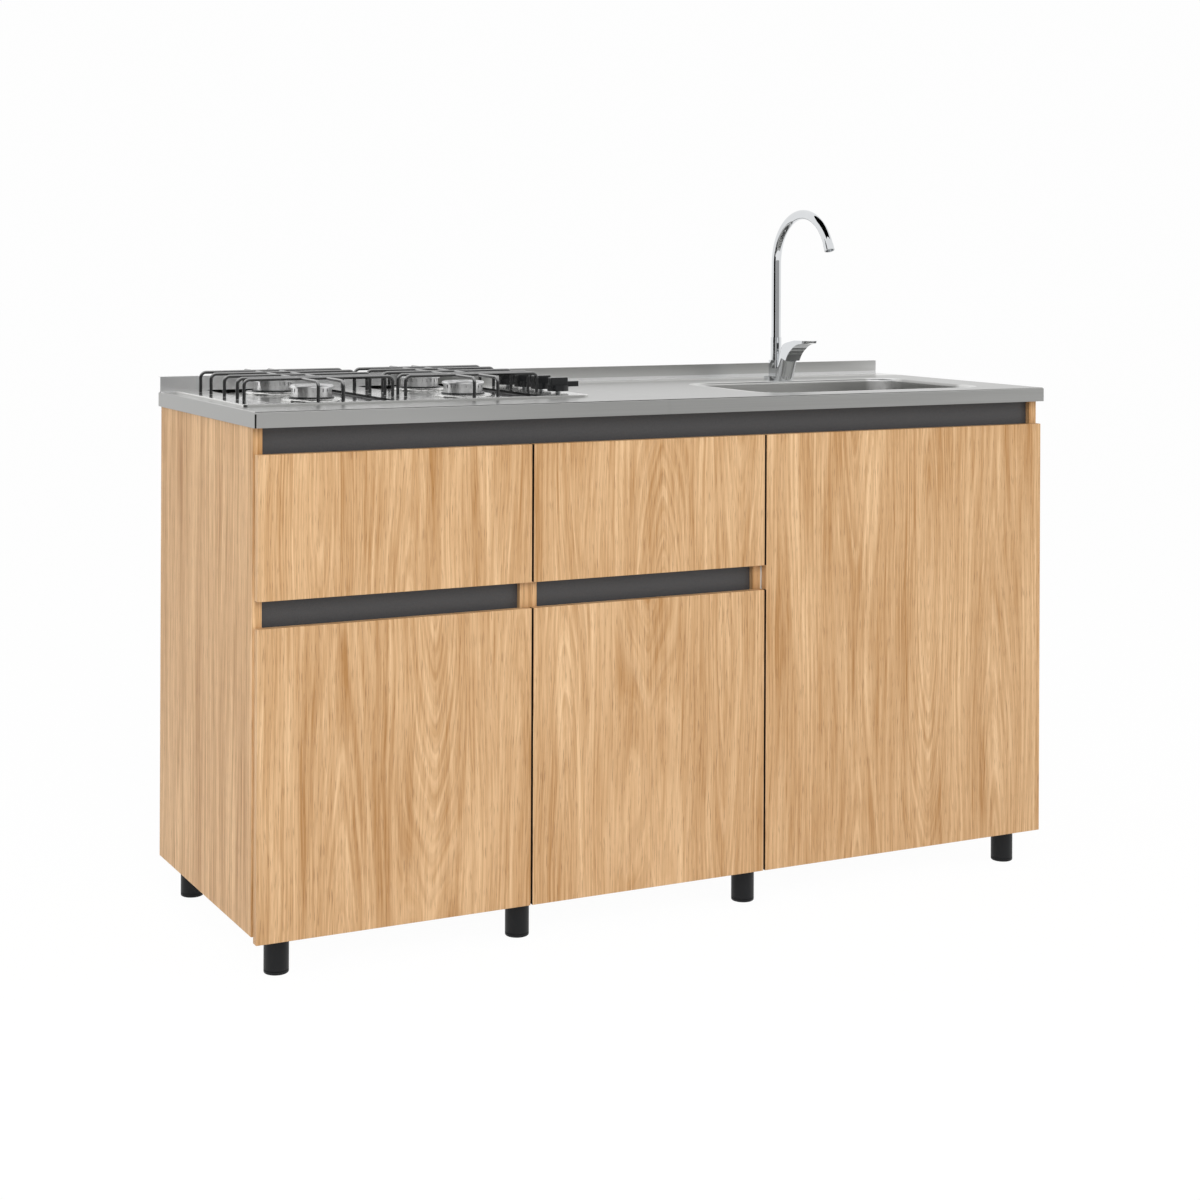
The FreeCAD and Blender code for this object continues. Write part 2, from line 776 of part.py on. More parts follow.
def worktop():
    """Folded steel top with skirts, a rear upstand and its three cut-outs."""
    body = new_body("worktop")
    plan = sketch_on(body, "XY_Plane", carcass_top)
    draw_polygon(plan, rectangle(left_end, front_end, right_end, back_end))
    slab = pad(body, plan, skirt_height)
    folds = edges_where(slab, lambda edge, middle: near(middle.z, deck_top) and not near(middle.y, back_end))
    folded = soften(body, slab, folds, bend_radius)
    open_faces = faces_where(
        folded, lambda face, centre: near(centre.z, carcass_top) or near(centre.y, back_end))
    shell = body.newObject("PartDesign::Thickness", "worktop_shell")
    shell.Base = (folded, open_faces)
    bind(shell, "Value", steel_sheet)
    shell.Reversed = True
    shell.Mode = 0
    shell.Join = 0

    wall = back_end - upstand_depth
    crest = deck_top + upstand_height
    profile = sketch_on(body, "YZ_Plane", left_end)
    draw_polygon(profile, [
        (wall, deck_under),
        (wall, crest),
        (back_end, crest),
        (back_end, crest - steel_sheet),
        (wall + steel_sheet, crest - steel_sheet),
        (wall + steel_sheet, deck_under),
    ])
    pad(body, profile, worktop_width - upstand_short)

    openings = sketch_on(body, "XY_Plane", deck_top)
    draw_rounded(openings, bowl_outer, bowl_corner + bowl_flange)
    draw_polygon(openings, rectangle(hob_left + hob_lap, hob_front + hob_lap,
                                     hob_right - hob_lap, hob_back - hob_lap))
    draw_circle(openings, tap_x, tap_y, shank_radius + shank_play)
    pocket(body, openings, steel_sheet)
    keep("worktop", body)


def battens():
    """Boards between the carcass and the steel top."""
    thick = deck_under - carcass_top
    inside_left = left_end + steel_sheet + batten_inset
    inside_right = right_end - steel_sheet - batten_inset
    front_line = front_end + steel_sheet + batten_inset
    back_line = back_end - steel_sheet - batten_inset
    span = back_line - front_line - batten_width - batten_rear_width
    rows = (
        ("front", front_line, batten_width),
        ("rear", back_line - batten_rear_width, batten_rear_width),
    )
    long_battens = [
        block(f"batten_{name}", inside_left, y, carcass_top, inside_right - inside_left, width, thick)
        for name, y, width in rows
    ]
    end_width = hob_left + hob_lap - inside_left - batten_inset
    cross = [
        block("batten_left", inside_left, front_line + batten_width, carcass_top, end_width, span, thick),
        block("batten_joint", joint_bc - board, front_line + batten_width, carcass_top,
              2 * board, span, thick),
        block("batten_right", inside_right - batten_width, front_line + batten_width, carcass_top,
              batten_width, span, thick),
    ]
    keep("worktop_battens", group("worktop_battens", long_battens + cross))


def bowl_form(name, grow, level):
    """The space of the bowl with a plate of its rim's outline above it, grown by a sheet's thickness."""
    body = new_body(name)
    rim_plan = sketch_on(body, "XY_Plane", level)
    draw_rounded(rim_plan, bowl_outer, bowl_corner + bowl_flange)
    pad(body, rim_plan, steel_sheet)
    bowl_plan = sketch_on(body, "XY_Plane", level)
    outline = rectangle(bowl_left - grow, bowl_front - grow, bowl_right + grow, bowl_back + grow)
    draw_rounded(bowl_plan, outline, bowl_corner + grow)
    depth = bowl_depth - steel_sheet
    hollow = pad(body, bowl_plan, depth, reverse=True)
    floor_edges = edges_where(hollow, lambda edge, middle: near(middle.z, level - depth))
    floored = soften(body, hollow, floor_edges, bowl_floor_round + grow)
    reach = bowl_flange.value / 2

    def on_mouth(edge, middle):
        if hasattr(edge.Curve, "Radius"):
            return near(middle.z, level) and near(edge.Curve.Radius, bowl_corner + grow)
        inside_x = bowl_left.value - reach < middle.x < bowl_right.value + reach
        inside_y = bowl_front.value - reach < middle.y < bowl_back.value + reach
        return near(middle.z, level) and inside_x and inside_y

    soften(body, floored, edges_where(floored, on_mouth), bowl_rim - grow)
    return body


def sink_bowl():
    """Pressed bowl whose rim rolls out into a flange, welded flush into the worktop."""
    metal = bowl_form("bowl_outside", steel_sheet, deck_under)
    space = bowl_form("bowl_inside", as_size(0), deck_top)
    pressed = cut("bowl_pressed", metal, space)
    hole = rod("bowl_waste_hole", (bowl_left + bowl_right) / 2, (bowl_front + bowl_back) / 2,
               deck_top - bowl_depth, waste_hole_radius, steel_sheet)
    keep("sink_bowl", cut("sink_bowl", pressed, hole))


def waste():
    """Basket waste in the bowl's floor and the strainer that lifts out of it."""
    x = (bowl_left + bowl_right) / 2
    y = (bowl_front + bowl_back) / 2
    floor_top = deck_top - bowl_depth + steel_sheet
    body = new_body("waste", x, y, floor_top)
    cup_outer = waste_hole_radius - waste_play
    cup_inner = cup_outer - waste_wall
    tail_inner = waste_tail_radius - waste_wall
    turn(body, [
        (waste_flange_radius, 0),
        (waste_flange_radius, waste_flange_height),
        (cup_inner - waste_wall, waste_flange_height),
        (cup_inner - waste_wall, -waste_depth),
        (tail_inner, -waste_depth),
        (tail_inner, -(waste_depth + waste_tail_length)),
        (waste_tail_radius, -(waste_depth + waste_tail_length)),
        (waste_tail_radius, -(waste_depth + waste_wall)),
        (cup_outer, -(waste_depth + waste_wall)),
        (cup_outer, 0),
    ])
    keep("sink_waste", body)

    basket = new_body("strainer", x, y, floor_top)
    basket_radius = cup_inner - waste_wall - waste_play
    lip = waste_flange_height + seat_play
    lip_radius = basket_radius + 2 * waste_wall
    post = strainer_post_radius
    turn(basket, [
        (0, -strainer_depth),
        (basket_radius, -strainer_depth),
        (basket_radius, lip),
        (lip_radius, lip),
        (lip_radius, lip + strainer_wall),
        (basket_radius - strainer_wall, lip + strainer_wall),
        (basket_radius - strainer_wall, strainer_wall - strainer_depth),
        (post, strainer_wall - strainer_depth),
        (post, strainer_post_height - strainer_depth),
        (0, strainer_post_height - strainer_depth),
    ])
    drain = sketch_on(basket, "XY_Plane", strainer_wall - strainer_depth)
    draw_circle(drain, strainer_hole_circle, 0, strainer_hole_radius)
    around(basket, pocket(basket, drain, strainer_wall), strainer_holes)
    keep("sink_strainer", basket)


# Hob

basin_left = hob_left + basin_inset
basin_middle = basin_left + basin_left_width
basin_right_start = basin_middle + basin_gap
basin_right = basin_right_start + basin_right_width
basin_front = hob_front + basin_end_inset
basin_back = hob_back - basin_end_inset
hob_top = deck_top + hob_rise
basin_floor = hob_top - basin_depth
burner_seat = basin_floor + burner_boss_height
burner_columns = ((basin_left + basin_middle) / 2, (basin_right_start + basin_right) / 2)
burner_rows = (hob_front + burner_front, hob_front + burner_front + burner_pitch)
burner_spots = [(x, y) for x in burner_columns for y in burner_rows]
knob_x = hob_right - knob_inset
knob_rows = [hob_front + knob_front + row * knob_pitch for row in range(4)]
burner_throat_hole = burner_throat_radius + burner_hole_play


def basin_outlines(grow):
    """The two pressed basins of the hob plate, grown outwards by a thickness."""
    sides = ((basin_left, basin_middle), (basin_right_start, basin_right))
    return [rectangle(low - grow, basin_front - grow, high + grow, basin_back + grow) for low, high in sides]


def hob_plate():
    """Pressed steel plate: turned-down rim, two sunk basins, raised burner seats, holes for the valves."""
    body = new_body("hob_plate")
    plan = sketch_on(body, "XY_Plane", deck_top)
    draw_rounded(plan, rectangle(hob_left, hob_front, hob_right, hob_back), hob_corner)
    plate = pad(body, plan, hob_rise)
    rim = edges_where(plate, lambda edge, middle: near(middle.z, hob_top))
    soften(body, plate, rim, hob_sheet)
    under = sketch_on(body, "XY_Plane", deck_top)
    draw_rounded(under, rectangle(hob_left + 2 * hob_sheet, hob_front + 2 * hob_sheet,
                                  hob_right - 2 * hob_sheet, hob_back - 2 * hob_sheet),
                 hob_corner - 2 * hob_sheet)
    pocket(body, under, hob_rise - hob_sheet, reverse=True)
    pressings = sketch_on(body, "XY_Plane", hob_top)
    for outline in basin_outlines(hob_sheet):
        draw_rounded(pressings, outline, basin_corner + hob_sheet)
    pad(body, pressings, basin_depth + hob_sheet, reverse=True)
    basins = sketch_on(body, "XY_Plane", hob_top)
    for outline in basin_outlines(0):
        draw_rounded(basins, outline, basin_corner)
    sunk = pocket(body, basins, basin_depth)
    floor_edges = edges_where(sunk, lambda edge, middle: near(middle.z, basin_floor))
    soften(body, sunk, floor_edges, basin_floor_round)
    bosses = sketch_on(body, "XY_Plane", basin_floor)
    for x, y in burner_spots:
        draw_circle(bosses, x, y, burner_boss_radius)
    raised = pad(body, bosses, burner_boss_height)
    crests = edges_where(raised, lambda edge, middle: near(middle.z, burner_seat))
    soften(body, raised, crests, burner_boss_round)
    hollows = sketch_on(body, "XY_Plane", basin_floor - hob_sheet)
    for x, y in burner_spots:
        draw_circle(hollows, x, y, burner_boss_radius - burner_boss_round)
    pocket(body, hollows, burner_boss_height, reverse=True)
    holes = sketch_on(body, "XY_Plane", hob_top)
    for x, y in burner_spots:
        draw_circle(holes, x, y, burner_throat_hole)
    for y in knob_rows:
        draw_circle(holes, knob_x, y, spindle_radius + spindle_hole_play)
    pocket(body, holes, basin_depth + hob_sheet)
    keep("hob_plate", body)


def burner_base(name, x, y):
    """Enamelled ring on its raised seat with a throat through the plate."""
    body = new_body(name, x, y, burner_seat)
    bore = burner_throat_radius - 2 * hob_sheet
    turn(body, [
        (bore, -burner_throat_depth),
        (burner_throat_radius, -burner_throat_depth),
        (burner_throat_radius, 0),
        (burner_ring_radius, 0),
        (burner_ring_radius - hob_sheet, burner_ring_height),
        (bore, burner_ring_height),
    ])
    return body


def burner_crown(name, x, y):
    """Cast crown with flame slots under a rounded cap."""
    body = new_body(name, x, y, burner_seat + burner_ring_height)
    cap_line = crown_height - crown_cap_height
    turned = turn(body, [
        (0, 0),
        (crown_radius - crown_cap_round, 0),
        (crown_radius - crown_cap_round, cap_line),
        (crown_radius, cap_line),
        (crown_radius, crown_height),
        (0, crown_height),
    ])
    crest = edges_where(
        turned, lambda edge, middle: near(middle.z, crown_height) and edge.Length > crown_radius.value)
    soften(body, turned, crest, crown_cap_round)
    slot = sketch_on(body, "XY_Plane", cap_line)
    inner = crown_radius - flame_slot_depth
    draw_polygon(slot, rectangle(inner, -(flame_slot_width / 2), crown_radius, flame_slot_width / 2))
    around(body, pocket(body, slot, flame_slot_height), flame_slots)
    return body


def burners():
    """Four burners, two in each basin."""
    bases = [burner_base(f"burner_base_{index}", x, y) for index, (x, y) in enumerate(burner_spots)]
    crowns = [burner_crown(f"burner_crown_{index}", x, y) for index, (x, y) in enumerate(burner_spots)]
    keep("burner_bases", group("burner_bases", bases))
    keep("burner_crowns", group("burner_crowns", crowns))


def bent_wire(body, plane, offset, path, foot):
    """One wire of a pan support, swept from a foot along a line bent down at both ends."""
    line = sketch_on(body, plane, offset)
    draw_rounded(line, path, wire_bend, closed=False)
    section = sketch_on(body, "XY_Plane")
    draw_circle(section, *foot, wire_radius)
    wire = body.newObject("PartDesign::AdditivePipe", f"{body.Name}_wire")
    wire.Profile = section
    wire.Spine = (line, [f"Edge{edge}" for edge in range(1, 6)])


def grate(name, low, high):
    """Welded wire pan support that stands on the plate round one basin."""
    half = (high - low) / 2 + grate_side_reach
    crest = grate_height - wire_radius
    body = new_body(name, (low + high) / 2, hob_front, hob_top + seat_play)
    across = [(-half, 0), (-half, crest), (half, crest), (half, 0)]
    first, last = basin_end_inset / 2, hob_depth - basin_end_inset / 2
    under = crest - grate_bar_drop
    along = [(first, 0), (first, under), (last, under), (last, 0)]
    bars = [side * grate_bar_half - grate_bar_shift for side in (-1, 1)]
    for row in wire_rows:
        bent_wire(body, "XZ_Plane", -row, across, (-half, row))
        if row is wire_rows[0]:
            for bar in bars:
                bent_wire(body, "YZ_Plane", bar, along, (bar, first))
    keep(name, body)


def grates():
    """One pan support over each basin."""
    grate("grate_left", basin_left, basin_middle)
    grate("grate_right", basin_right_start, basin_right)


def gas_train():
    """Manifold under the knobs with a screwed inlet, and the four valves that stand on it."""
    valve_top = hob_top - hob_sheet
    valve_bottom = valve_top - valve_height
    axis_level = valve_bottom - manifold_boss
    start = knob_rows[0] - manifold_end
    end = knob_rows[-1] + manifold_end
    pieces = [rod("manifold_tube", knob_x, start, axis_level, manifold_radius, end - start, (0, 1, 0))]
    for index, y in enumerate(knob_rows):
        pieces.append(block(f"manifold_boss_{index}", knob_x - valve_width / 4, y - valve_width / 4,
                            axis_level, valve_width / 2, valve_width / 2, manifold_boss))
    inlet_y = end - manifold_end / 2
    collar_bottom = axis_level - manifold_radius - gas_collar_height
    pieces.append(rod("gas_collar", knob_x, inlet_y, collar_bottom,
                      gas_collar_radius, axis_level - collar_bottom))
    pieces.append(rod("gas_inlet", knob_x, inlet_y, collar_bottom - gas_inlet_length,
                      gas_inlet_radius, gas_inlet_length + gas_collar_height))
    train = [group("gas_manifold", pieces, "Part::MultiFuse")]
    for index, y in enumerate(knob_rows):
        body = new_body(f"valve_{index}", knob_x, y, valve_bottom)
        plan = sketch_on(body, "XY_Plane")
        half = valve_width / 2
        draw_rounded(plan, rectangle(-half, -half, half, half), spindle_radius)
        pad(body, plan, valve_height)
        bore = sketch_on(body, "XY_Plane", valve_height)
        draw_circle(bore, 0, 0, spindle_radius + spindle_play)
        pocket(body, bore, valve_bore_depth)
        train.append(body)
    keep("gas_train", group("gas_train", train))


def knob(index, y):
    """A disc with a block grip and a pointer, pushed onto a valve spindle."""
    base = hob_top + knob_lift
    body = new_body(f"knob_{index}", knob_x, y, base)
    plan = sketch_on(body, "XY_Plane")
    draw_circle(plan, 0, 0, knob_radius)
    pad(body, plan, knob_disc_height)
    grip = sketch_on(body, "XY_Plane")
    grip_side = knob_grip_width / 2
    draw_rounded(grip, rectangle(-knob_grip_half, -grip_side, knob_grip_half, grip_side), knob_top_round)
    block_grip = pad(body, grip, knob_height)
    crest = edges_where(block_grip, lambda edge, middle: near(middle.z, knob_height))
    soften(body, block_grip, crest, knob_top_round)
    bar = sketch_on(body, "XY_Plane", knob_bar_base)
    half = knob_bar_width / 2
    draw_rounded(bar, rectangle(0, -half, knob_bar_reach, half), knob_bar_width / 4)
    pad(body, bar, knob_bar_height)
    bore = sketch_on(body, "XY_Plane")
    draw_circle(bore, 0, 0, spindle_radius + spindle_play)
    pocket(body, bore, knob_bore_depth, reverse=True)
    keep(f"knob_{index}", body)

    spindle_bottom = hob_top - hob_sheet - spindle_depth
    spindle_top = base + knob_bore_depth - seat_play
    keep(f"spindle_{index}",
         rod(f"spindle_{index}", knob_x, y, spindle_bottom, spindle_radius, spindle_top - spindle_bottom))


# Tap

ball_level = housing_length + ball_rise


def leaning(obj, along=0):
    """Set an object on the housing's tilted axis, a given way up from the housing's foot."""
    obj.Placement.Rotation = FreeCAD.Rotation(FreeCAD.Vector(1, 0, 0), housing_lean.value)
    bind(obj, "Placement.Rotation.Angle", housing_lean)
    forward = housing_front + along * sine(housing_lean)
    return place(obj, tap_x, tap_y - forward, deck_top + along * cosine(housing_lean))


def tap_body():
    """Cast body: foot, riser collar, leaning cartridge housing and the threaded shank below the deck."""
    foot = new_body("tap_foot", tap_x, tap_y, deck_top)
    for radius, height, down in (
        (tap_foot_radius, tap_foot_height, False),
        (riser_radius, riser_height, False),
        (shank_radius, shank_length, True),
    ):
        plan = sketch_on(foot, "XY_Plane")
        draw_circle(plan, 0, 0, radius)
        pad(foot, plan, height, reverse=down)
    tails = sketch_on(foot, "XY_Plane", -shank_length)
    for side in (-1, 1):
        draw_circle(tails, side * tail_hole_offset, 0, tail_hole_radius)
    pocket(foot, tails, tail_hole_depth, reverse=True)

    housing = leaning(doc.addObject("PartDesign::Body", "tap_housing_body"))
    round_plan = sketch_on(housing, "XY_Plane", -housing_radius)
    draw_circle(round_plan, 0, 0, housing_radius)
    pad(housing, round_plan, housing_length + housing_radius)
    below = block("tap_housing_trim", tap_x - 2 * housing_radius, tap_y - housing_front - 2 * housing_radius,
                  deck_top - 2 * housing_radius, 4 * housing_radius, 4 * housing_radius, 2 * housing_radius)
    trimmed = cut("tap_housing_trimmed", housing, below)
    web = block("tap_web", tap_x - riser_radius, tap_y - housing_front, deck_top,
                2 * riser_radius, housing_front, web_height)
    casting = group("tap_casting", [foot, trimmed, web], "Part::MultiFuse")

    spigot_seat = rod("tap_spigot_seat", tap_x, tap_y, deck_top + riser_height - spigot_length,
                      spigot_radius + pivot_play, spigot_length)
    cartridge_seat = rod("tap_cartridge_seat", 0, 0, 0, cartridge_radius + pivot_play, cartridge_length)
    leaning(cartridge_seat, housing_length - cartridge_length)
    keep("tap_body", cut("tap_body", cut("tap_spigot_bored", casting, spigot_seat), cartridge_seat))


def tap_cartridge():
    """Ball on a stem that turns in the housing."""
    body = leaning(doc.addObject("PartDesign::Body", "tap_cartridge_body"))
    stem = sketch_on(body, "XY_Plane", housing_length - cartridge_length + seat_play)
    draw_circle(stem, 0, 0, cartridge_radius)
    pad(body, stem, cartridge_length + ball_rise)
    ball = body.newObject("PartDesign::AdditiveSphere", "tap_ball")
    bind(ball, "Radius", ball_radius)
    ball.AttachmentSupport = [(plane_of(body, "XY_Plane"), "")]
    ball.MapMode = "FlatFace"
    bind(ball, "AttachmentOffset.Base.z", ball_level)
    below = sketch_on(body, "XY_Plane", housing_length + seat_play)
    draw_circle(below, 0, 0, 2 * ball_radius)
    draw_circle(below, 0, 0, cartridge_radius)
    pocket(body, below, ball_radius)
    keep("tap_cartridge", body)


def tap_lever():
    """Hood over the ball that sweeps forward into a flat tongue, relieved behind so that it can tip."""
    body = leaning(doc.addObject("PartDesign::Body", "tap_lever_body"))
    front = lever_half_width
    tip_under = lever_tip_rise - lever_tip_thick
    outline = [
        (-front, -lever_drop),
        (0, -lever_drop),
        (front, lever_back_lift),
        (lever_shoulder_back, lever_shoulder_rise),
        (-lever_crest_reach, lever_crest_rise),
        (-lever_tip_reach, lever_tip_rise),
        (-lever_tip_reach, tip_under),
        (-lever_under_reach, lever_under_rise),
        (-lever_throat_reach, lever_throat_rise),
    ]
    side = sketch_on(body, "YZ_Plane")
    draw_polygon(side, [(reach, ball_level + rise) for reach, rise in outline])
    shape = pad(body, side, 2 * lever_half_width, both_sides=True)
    bends = [(as_size(reach).value, (ball_level + rise).value) for reach, rise in outline]
    for corners, radius in (((3, 4, 7, 8), lever_curve), ((5, 6), lever_edge_round)):
        folds = edges_where(shape, lambda edge, middle: near(middle.x, 0) and any(
            near(middle.y, bends[corner][0]) and near(middle.z, bends[corner][1]) for corner in corners))
        shape = soften(body, shape, folds, radius)
    plan = sketch_on(body, "XY_Plane", ball_level - lever_drop)
    reach = 2 * lever_tip_reach
    draw_polygon(plan, rectangle(-reach, -reach, reach, reach))
    draw_rounded(plan, rectangle(-front, -lever_tip_reach, front, front), front - lever_edge_round)
    pocket(body, plan, reach, reverse=True)
    hollow = body.newObject("PartDesign::SubtractiveSphere", "tap_lever_hollow")
    bind(hollow, "Radius", ball_radius + seat_play)
    hollow.AttachmentSupport = [(plane_of(body, "XY_Plane"), "")]
    hollow.MapMode = "FlatFace"
    bind(hollow, "AttachmentOffset.Base.z", ball_level)
    keep("tap_lever", body)


def tap_spout():
    """Swan-neck pipe on a swivelling spigot, with the aerator in its end."""
    body = new_body("tap_spout", tap_x, tap_y, deck_top)
    sleeve_base = riser_height + seat_play
    section = sketch_on(body, "XY_Plane", sleeve_base)
    draw_circle(section, 0, 0, pipe_radius)
    line = sketch_on(body, "YZ_Plane")
    riser = line.addGeometry(Part.LineSegment(vector(0, sleeve_base), vector(0, arch_rise)), False)
    centre = vector(-arch_radius, arch_rise)
    circle = Part.Circle(centre, FreeCAD.Vector(0, 0, 1), arch_radius.value)
    arch = line.addGeometry(Part.ArcOfCircle(circle, 0, math.radians(arch_turn.value)), False)
    line.addConstraint(Sketcher.Constraint("Vertical", riser))
    line.addConstraint(Sketcher.Constraint("Tangent", riser, 2, arch, 1))
    pin(line, "X", riser, 1, 0)
    pin(line, "Y", riser, 1, sleeve_base)
    pin(line, "Y", riser, 2, arch_rise)
    bend = line.addConstraint(Sketcher.Constraint("Radius", arch, arch_radius.value))
    bind(line, f"Constraints[{bend}]", arch_radius)
    pin(line, "X", arch, 2, -(arch_radius - arch_radius * cosine(arch_turn)))
    pipe = body.newObject("PartDesign::AdditivePipe", "tap_spout_pipe")
    pipe.Profile = section
    pipe.Spine = (line, ["Edge1", "Edge2"])
    sleeve = sketch_on(body, "XY_Plane", sleeve_base)
    draw_circle(sleeve, 0, 0, sleeve_radius)
    pad(body, sleeve, sleeve_height)
    spigot = sketch_on(body, "XY_Plane", sleeve_base)
    draw_circle(spigot, 0, 0, spigot_radius)
    pad(body, spigot, spigot_length, reverse=True)
    keep("tap_spout", body)

    aerator = doc.addObject("PartDesign::Body", "tap_aerator_body")
    turn(aerator, [
        (0, aerator_recess),
        (aerator_bore, aerator_recess),
        (aerator_bore, 0),
        (aerator_radius, 0),
        (aerator_radius, aerator_length),
        (0, aerator_length),
    ])
    aerator.Placement.Rotation = FreeCAD.Rotation(FreeCAD.Vector(1, 0, 0), arch_turn.value - 180)
    bind(aerator, "Placement.Rotation.Angle", arch_turn - 180)
    out = arch_radius + arch_radius * cosine(180 - arch_turn)
    outlet_y = tap_y - out - aerator_length * sine(180 - arch_turn)
    outlet_z = deck_top + arch_rise + arch_radius * sine(arch_turn) - aerator_length * cosine(180 - arch_turn)
    place(aerator, tap_x, outlet_y, outlet_z)
    keep("tap_aerator", aerator)


def clamp_nuts():
    """Ring nuts that clamp the tap under the deck and the waste under the bowl."""
    tap_ring = new_body("tap_nut", tap_x, tap_y, deck_under)
    turn(tap_ring, rectangle(shank_radius + pivot_play, -tap_nut_height, tap_nut_radius, 0))
    waste_ring = new_body("waste_nut", (bowl_left + bowl_right) / 2, (bowl_front + bowl_back) / 2,
                          deck_top - bowl_depth)
    turn(waste_ring, rectangle(waste_hole_radius, -waste_nut_height, waste_nut_radius, 0))
    keep("clamp_nuts", group("clamp_nuts", [tap_ring, waste_ring]))


# Drawers


def runner_member(name, x, side, z, inset, reach, half_height):
    """A rolled channel: a web on the side that carries it and two lips towards the other member."""
    body = new_body(name, x, carcass_front + runner_set_back, z)
    profile = sketch_on(body, "XZ_Plane")
    near_side = side * inset
    far_side = side * reach
    web = side * runner_sheet
    low, high = -half_height, half_height
    web_side = near_side + web
    draw_polygon(profile, [
        (near_side, low), (far_side, low), (far_side, low + runner_sheet), (web_side, low + runner_sheet),
        (web_side, high - runner_sheet), (far_side, high - runner_sheet), (far_side, high), (near_side, high),
    ])
    pad(body, profile, runner_length, reverse=True)
    return body


def drawer(name):
    """Front, box, floor and telescopic runners of one drawer; returns the members fixed to the carcass."""
    module = modules[name]
    front_width = module["front_right"] - module["front_left"]
    front = front_panel(f"drawer_front_{name}", module["front_left"], drawer_front_bottom,
                        front_width, drawer_front_height)
    keep(f"drawer_front_{name}", front)

    box_left = module["inner_left"] + runner_width
    box_right = module["inner_right"] - runner_width
    box_bottom = drawer_front_bottom + drawer_lift
    sides = []
    groove_level = box_bottom + floor_groove
    for side_name, x, groove_x in (
        ("left", box_left, box_left + drawer_board / 2),
        ("right", box_right - drawer_board, box_right - drawer_board),
    ):
        plain = block(f"drawer_{side_name}_{name}_board", x, front_back_plane, box_bottom,
                      drawer_board, drawer_depth, drawer_height)
        groove = block(f"drawer_{side_name}_{name}_groove", groove_x, front_back_plane, groove_level,
                       drawer_board / 2, drawer_depth, drawer_floor)
        sides.append(cut(f"drawer_{side_name}_{name}", plain, groove))
    back_bottom = groove_level + drawer_floor
    back = block(f"drawer_back_{name}", box_left + drawer_board,
                 front_back_plane + drawer_depth - drawer_board, back_bottom,
                 box_right - box_left - 2 * drawer_board, drawer_board,
                 drawer_height - floor_groove - drawer_floor)
    keep(f"drawer_box_{name}", group(f"drawer_box_{name}", sides + [back]))
    keep(f"drawer_bottom_{name}",
         block(f"drawer_bottom_{name}", box_left + drawer_board / 2, front_back_plane, groove_level,
               box_right - box_left - drawer_board, drawer_depth, drawer_floor))

    level = box_bottom + drawer_height / 2
    outer_half = runner_height / 2
    middle_half = outer_half - runner_sheet - runner_play
    inner_half = middle_half - runner_sheet - runner_play
    fixed, middle, inner = [], [], []
    for side_name, x, side in (("left", module["inner_left"], 1), ("right", module["inner_right"], -1)):
        tag = f"{side_name}_{name}"
        lip = runner_width - runner_sheet - runner_play
        fixed.append(runner_member(f"runner_fixed_{tag}", x, side, level, 0, lip, outer_half))
        start = runner_sheet + runner_play
        middle.append(runner_member(f"runner_middle_{tag}", x, side, level, start, lip, middle_half))
        box_x = x + side * runner_width
        inner_reach = runner_width - 2 * start
        inner.append(runner_member(f"runner_inner_{tag}", box_x, -side, level, 0, inner_reach, inner_half))
    keep(f"runner_middle_{name}", group(f"runner_middle_{name}", middle))
    keep(f"runner_inner_{name}", group(f"runner_inner_{name}", inner))
    return fixed


# Doors and hinges


def front_panel(name, x, z, width, height, cups=()):
    """A door or drawer front with softened edges, bored from behind for any hinge cups."""
    body = new_body(name, x, front_face_plane, z)
    outline = sketch_on(body, "XZ_Plane")
    draw_polygon(outline, rectangle(0, 0, width, height))
    slab = pad(body, outline, front_board, reverse=True)
    soften(body, slab, edges_where(slab, lambda edge, middle: True), front_round)
    if cups:
        bores = sketch_on(body, "XZ_Plane", -front_board)
        for cup_x, cup_z in cups:
            draw_circle(bores, cup_x, cup_z, cup_radius)
        pocket(body, bores, cup_depth, reverse=True)
    return body


def hinge_cup(name, x, z):
    """Pressed cup with a screw flange on the back of the door."""
    body = new_body(name, x, front_back_plane, z)
    ring = sketch_on(body, "XZ_Plane")
    draw_circle(ring, 0, 0, cup_radius - cup_play)
    pad(body, ring, cup_depth - cup_play)
    flange = sketch_on(body, "XZ_Plane")
    half_width, half_height = cup_flange_width / 2, cup_flange_height / 2
    draw_rounded(flange, rectangle(-half_width, -half_height, half_width, half_height), cup_flange_width / 4)
    pad(body, flange, cup_sheet, reverse=True)
    hollow = sketch_on(body, "XZ_Plane", -cup_sheet)
    draw_circle(hollow, 0, 0, cup_radius - cup_sheet)
    pocket(body, hollow, cup_depth, reverse=True)
    return body


def hinge_arm(name, edge, side, z, wall):
    """Arm screwed to the carcass side, with a fork and pin that carry the hinge link."""
    body = new_body(name, edge, front_back_plane, z)
    low = side * (arm_pivot_inset - arm_thick / 2)
    high = side * (arm_pivot_inset + arm_thick / 2)
    tip = -(arm_pivot_depth + arm_tip)
    plan = sketch_on(body, "XY_Plane")
    draw_polygon(plan, [
        (wall, arm_foot_start), (low, arm_foot_start), (low, tip),
        (high, tip), (high, arm_foot_end), (wall, arm_foot_end),
    ])
    pad(body, plan, arm_height, both_sides=True)
    fork = sketch_on(body, "XY_Plane")
    draw_polygon(fork, rectangle(low - side * arm_thick, tip - arm_tip, high + side * arm_thick,
                                 -(arm_pivot_depth - fork_root)))
    pocket(body, fork, fork_gap, both_sides=True)
    hinge_pin = sketch_on(body, "XY_Plane")
    draw_circle(hinge_pin, side * arm_pivot_inset, -arm_pivot_depth, hinge_pin_radius)
    pad(body, hinge_pin, arm_height, both_sides=True)
    return body


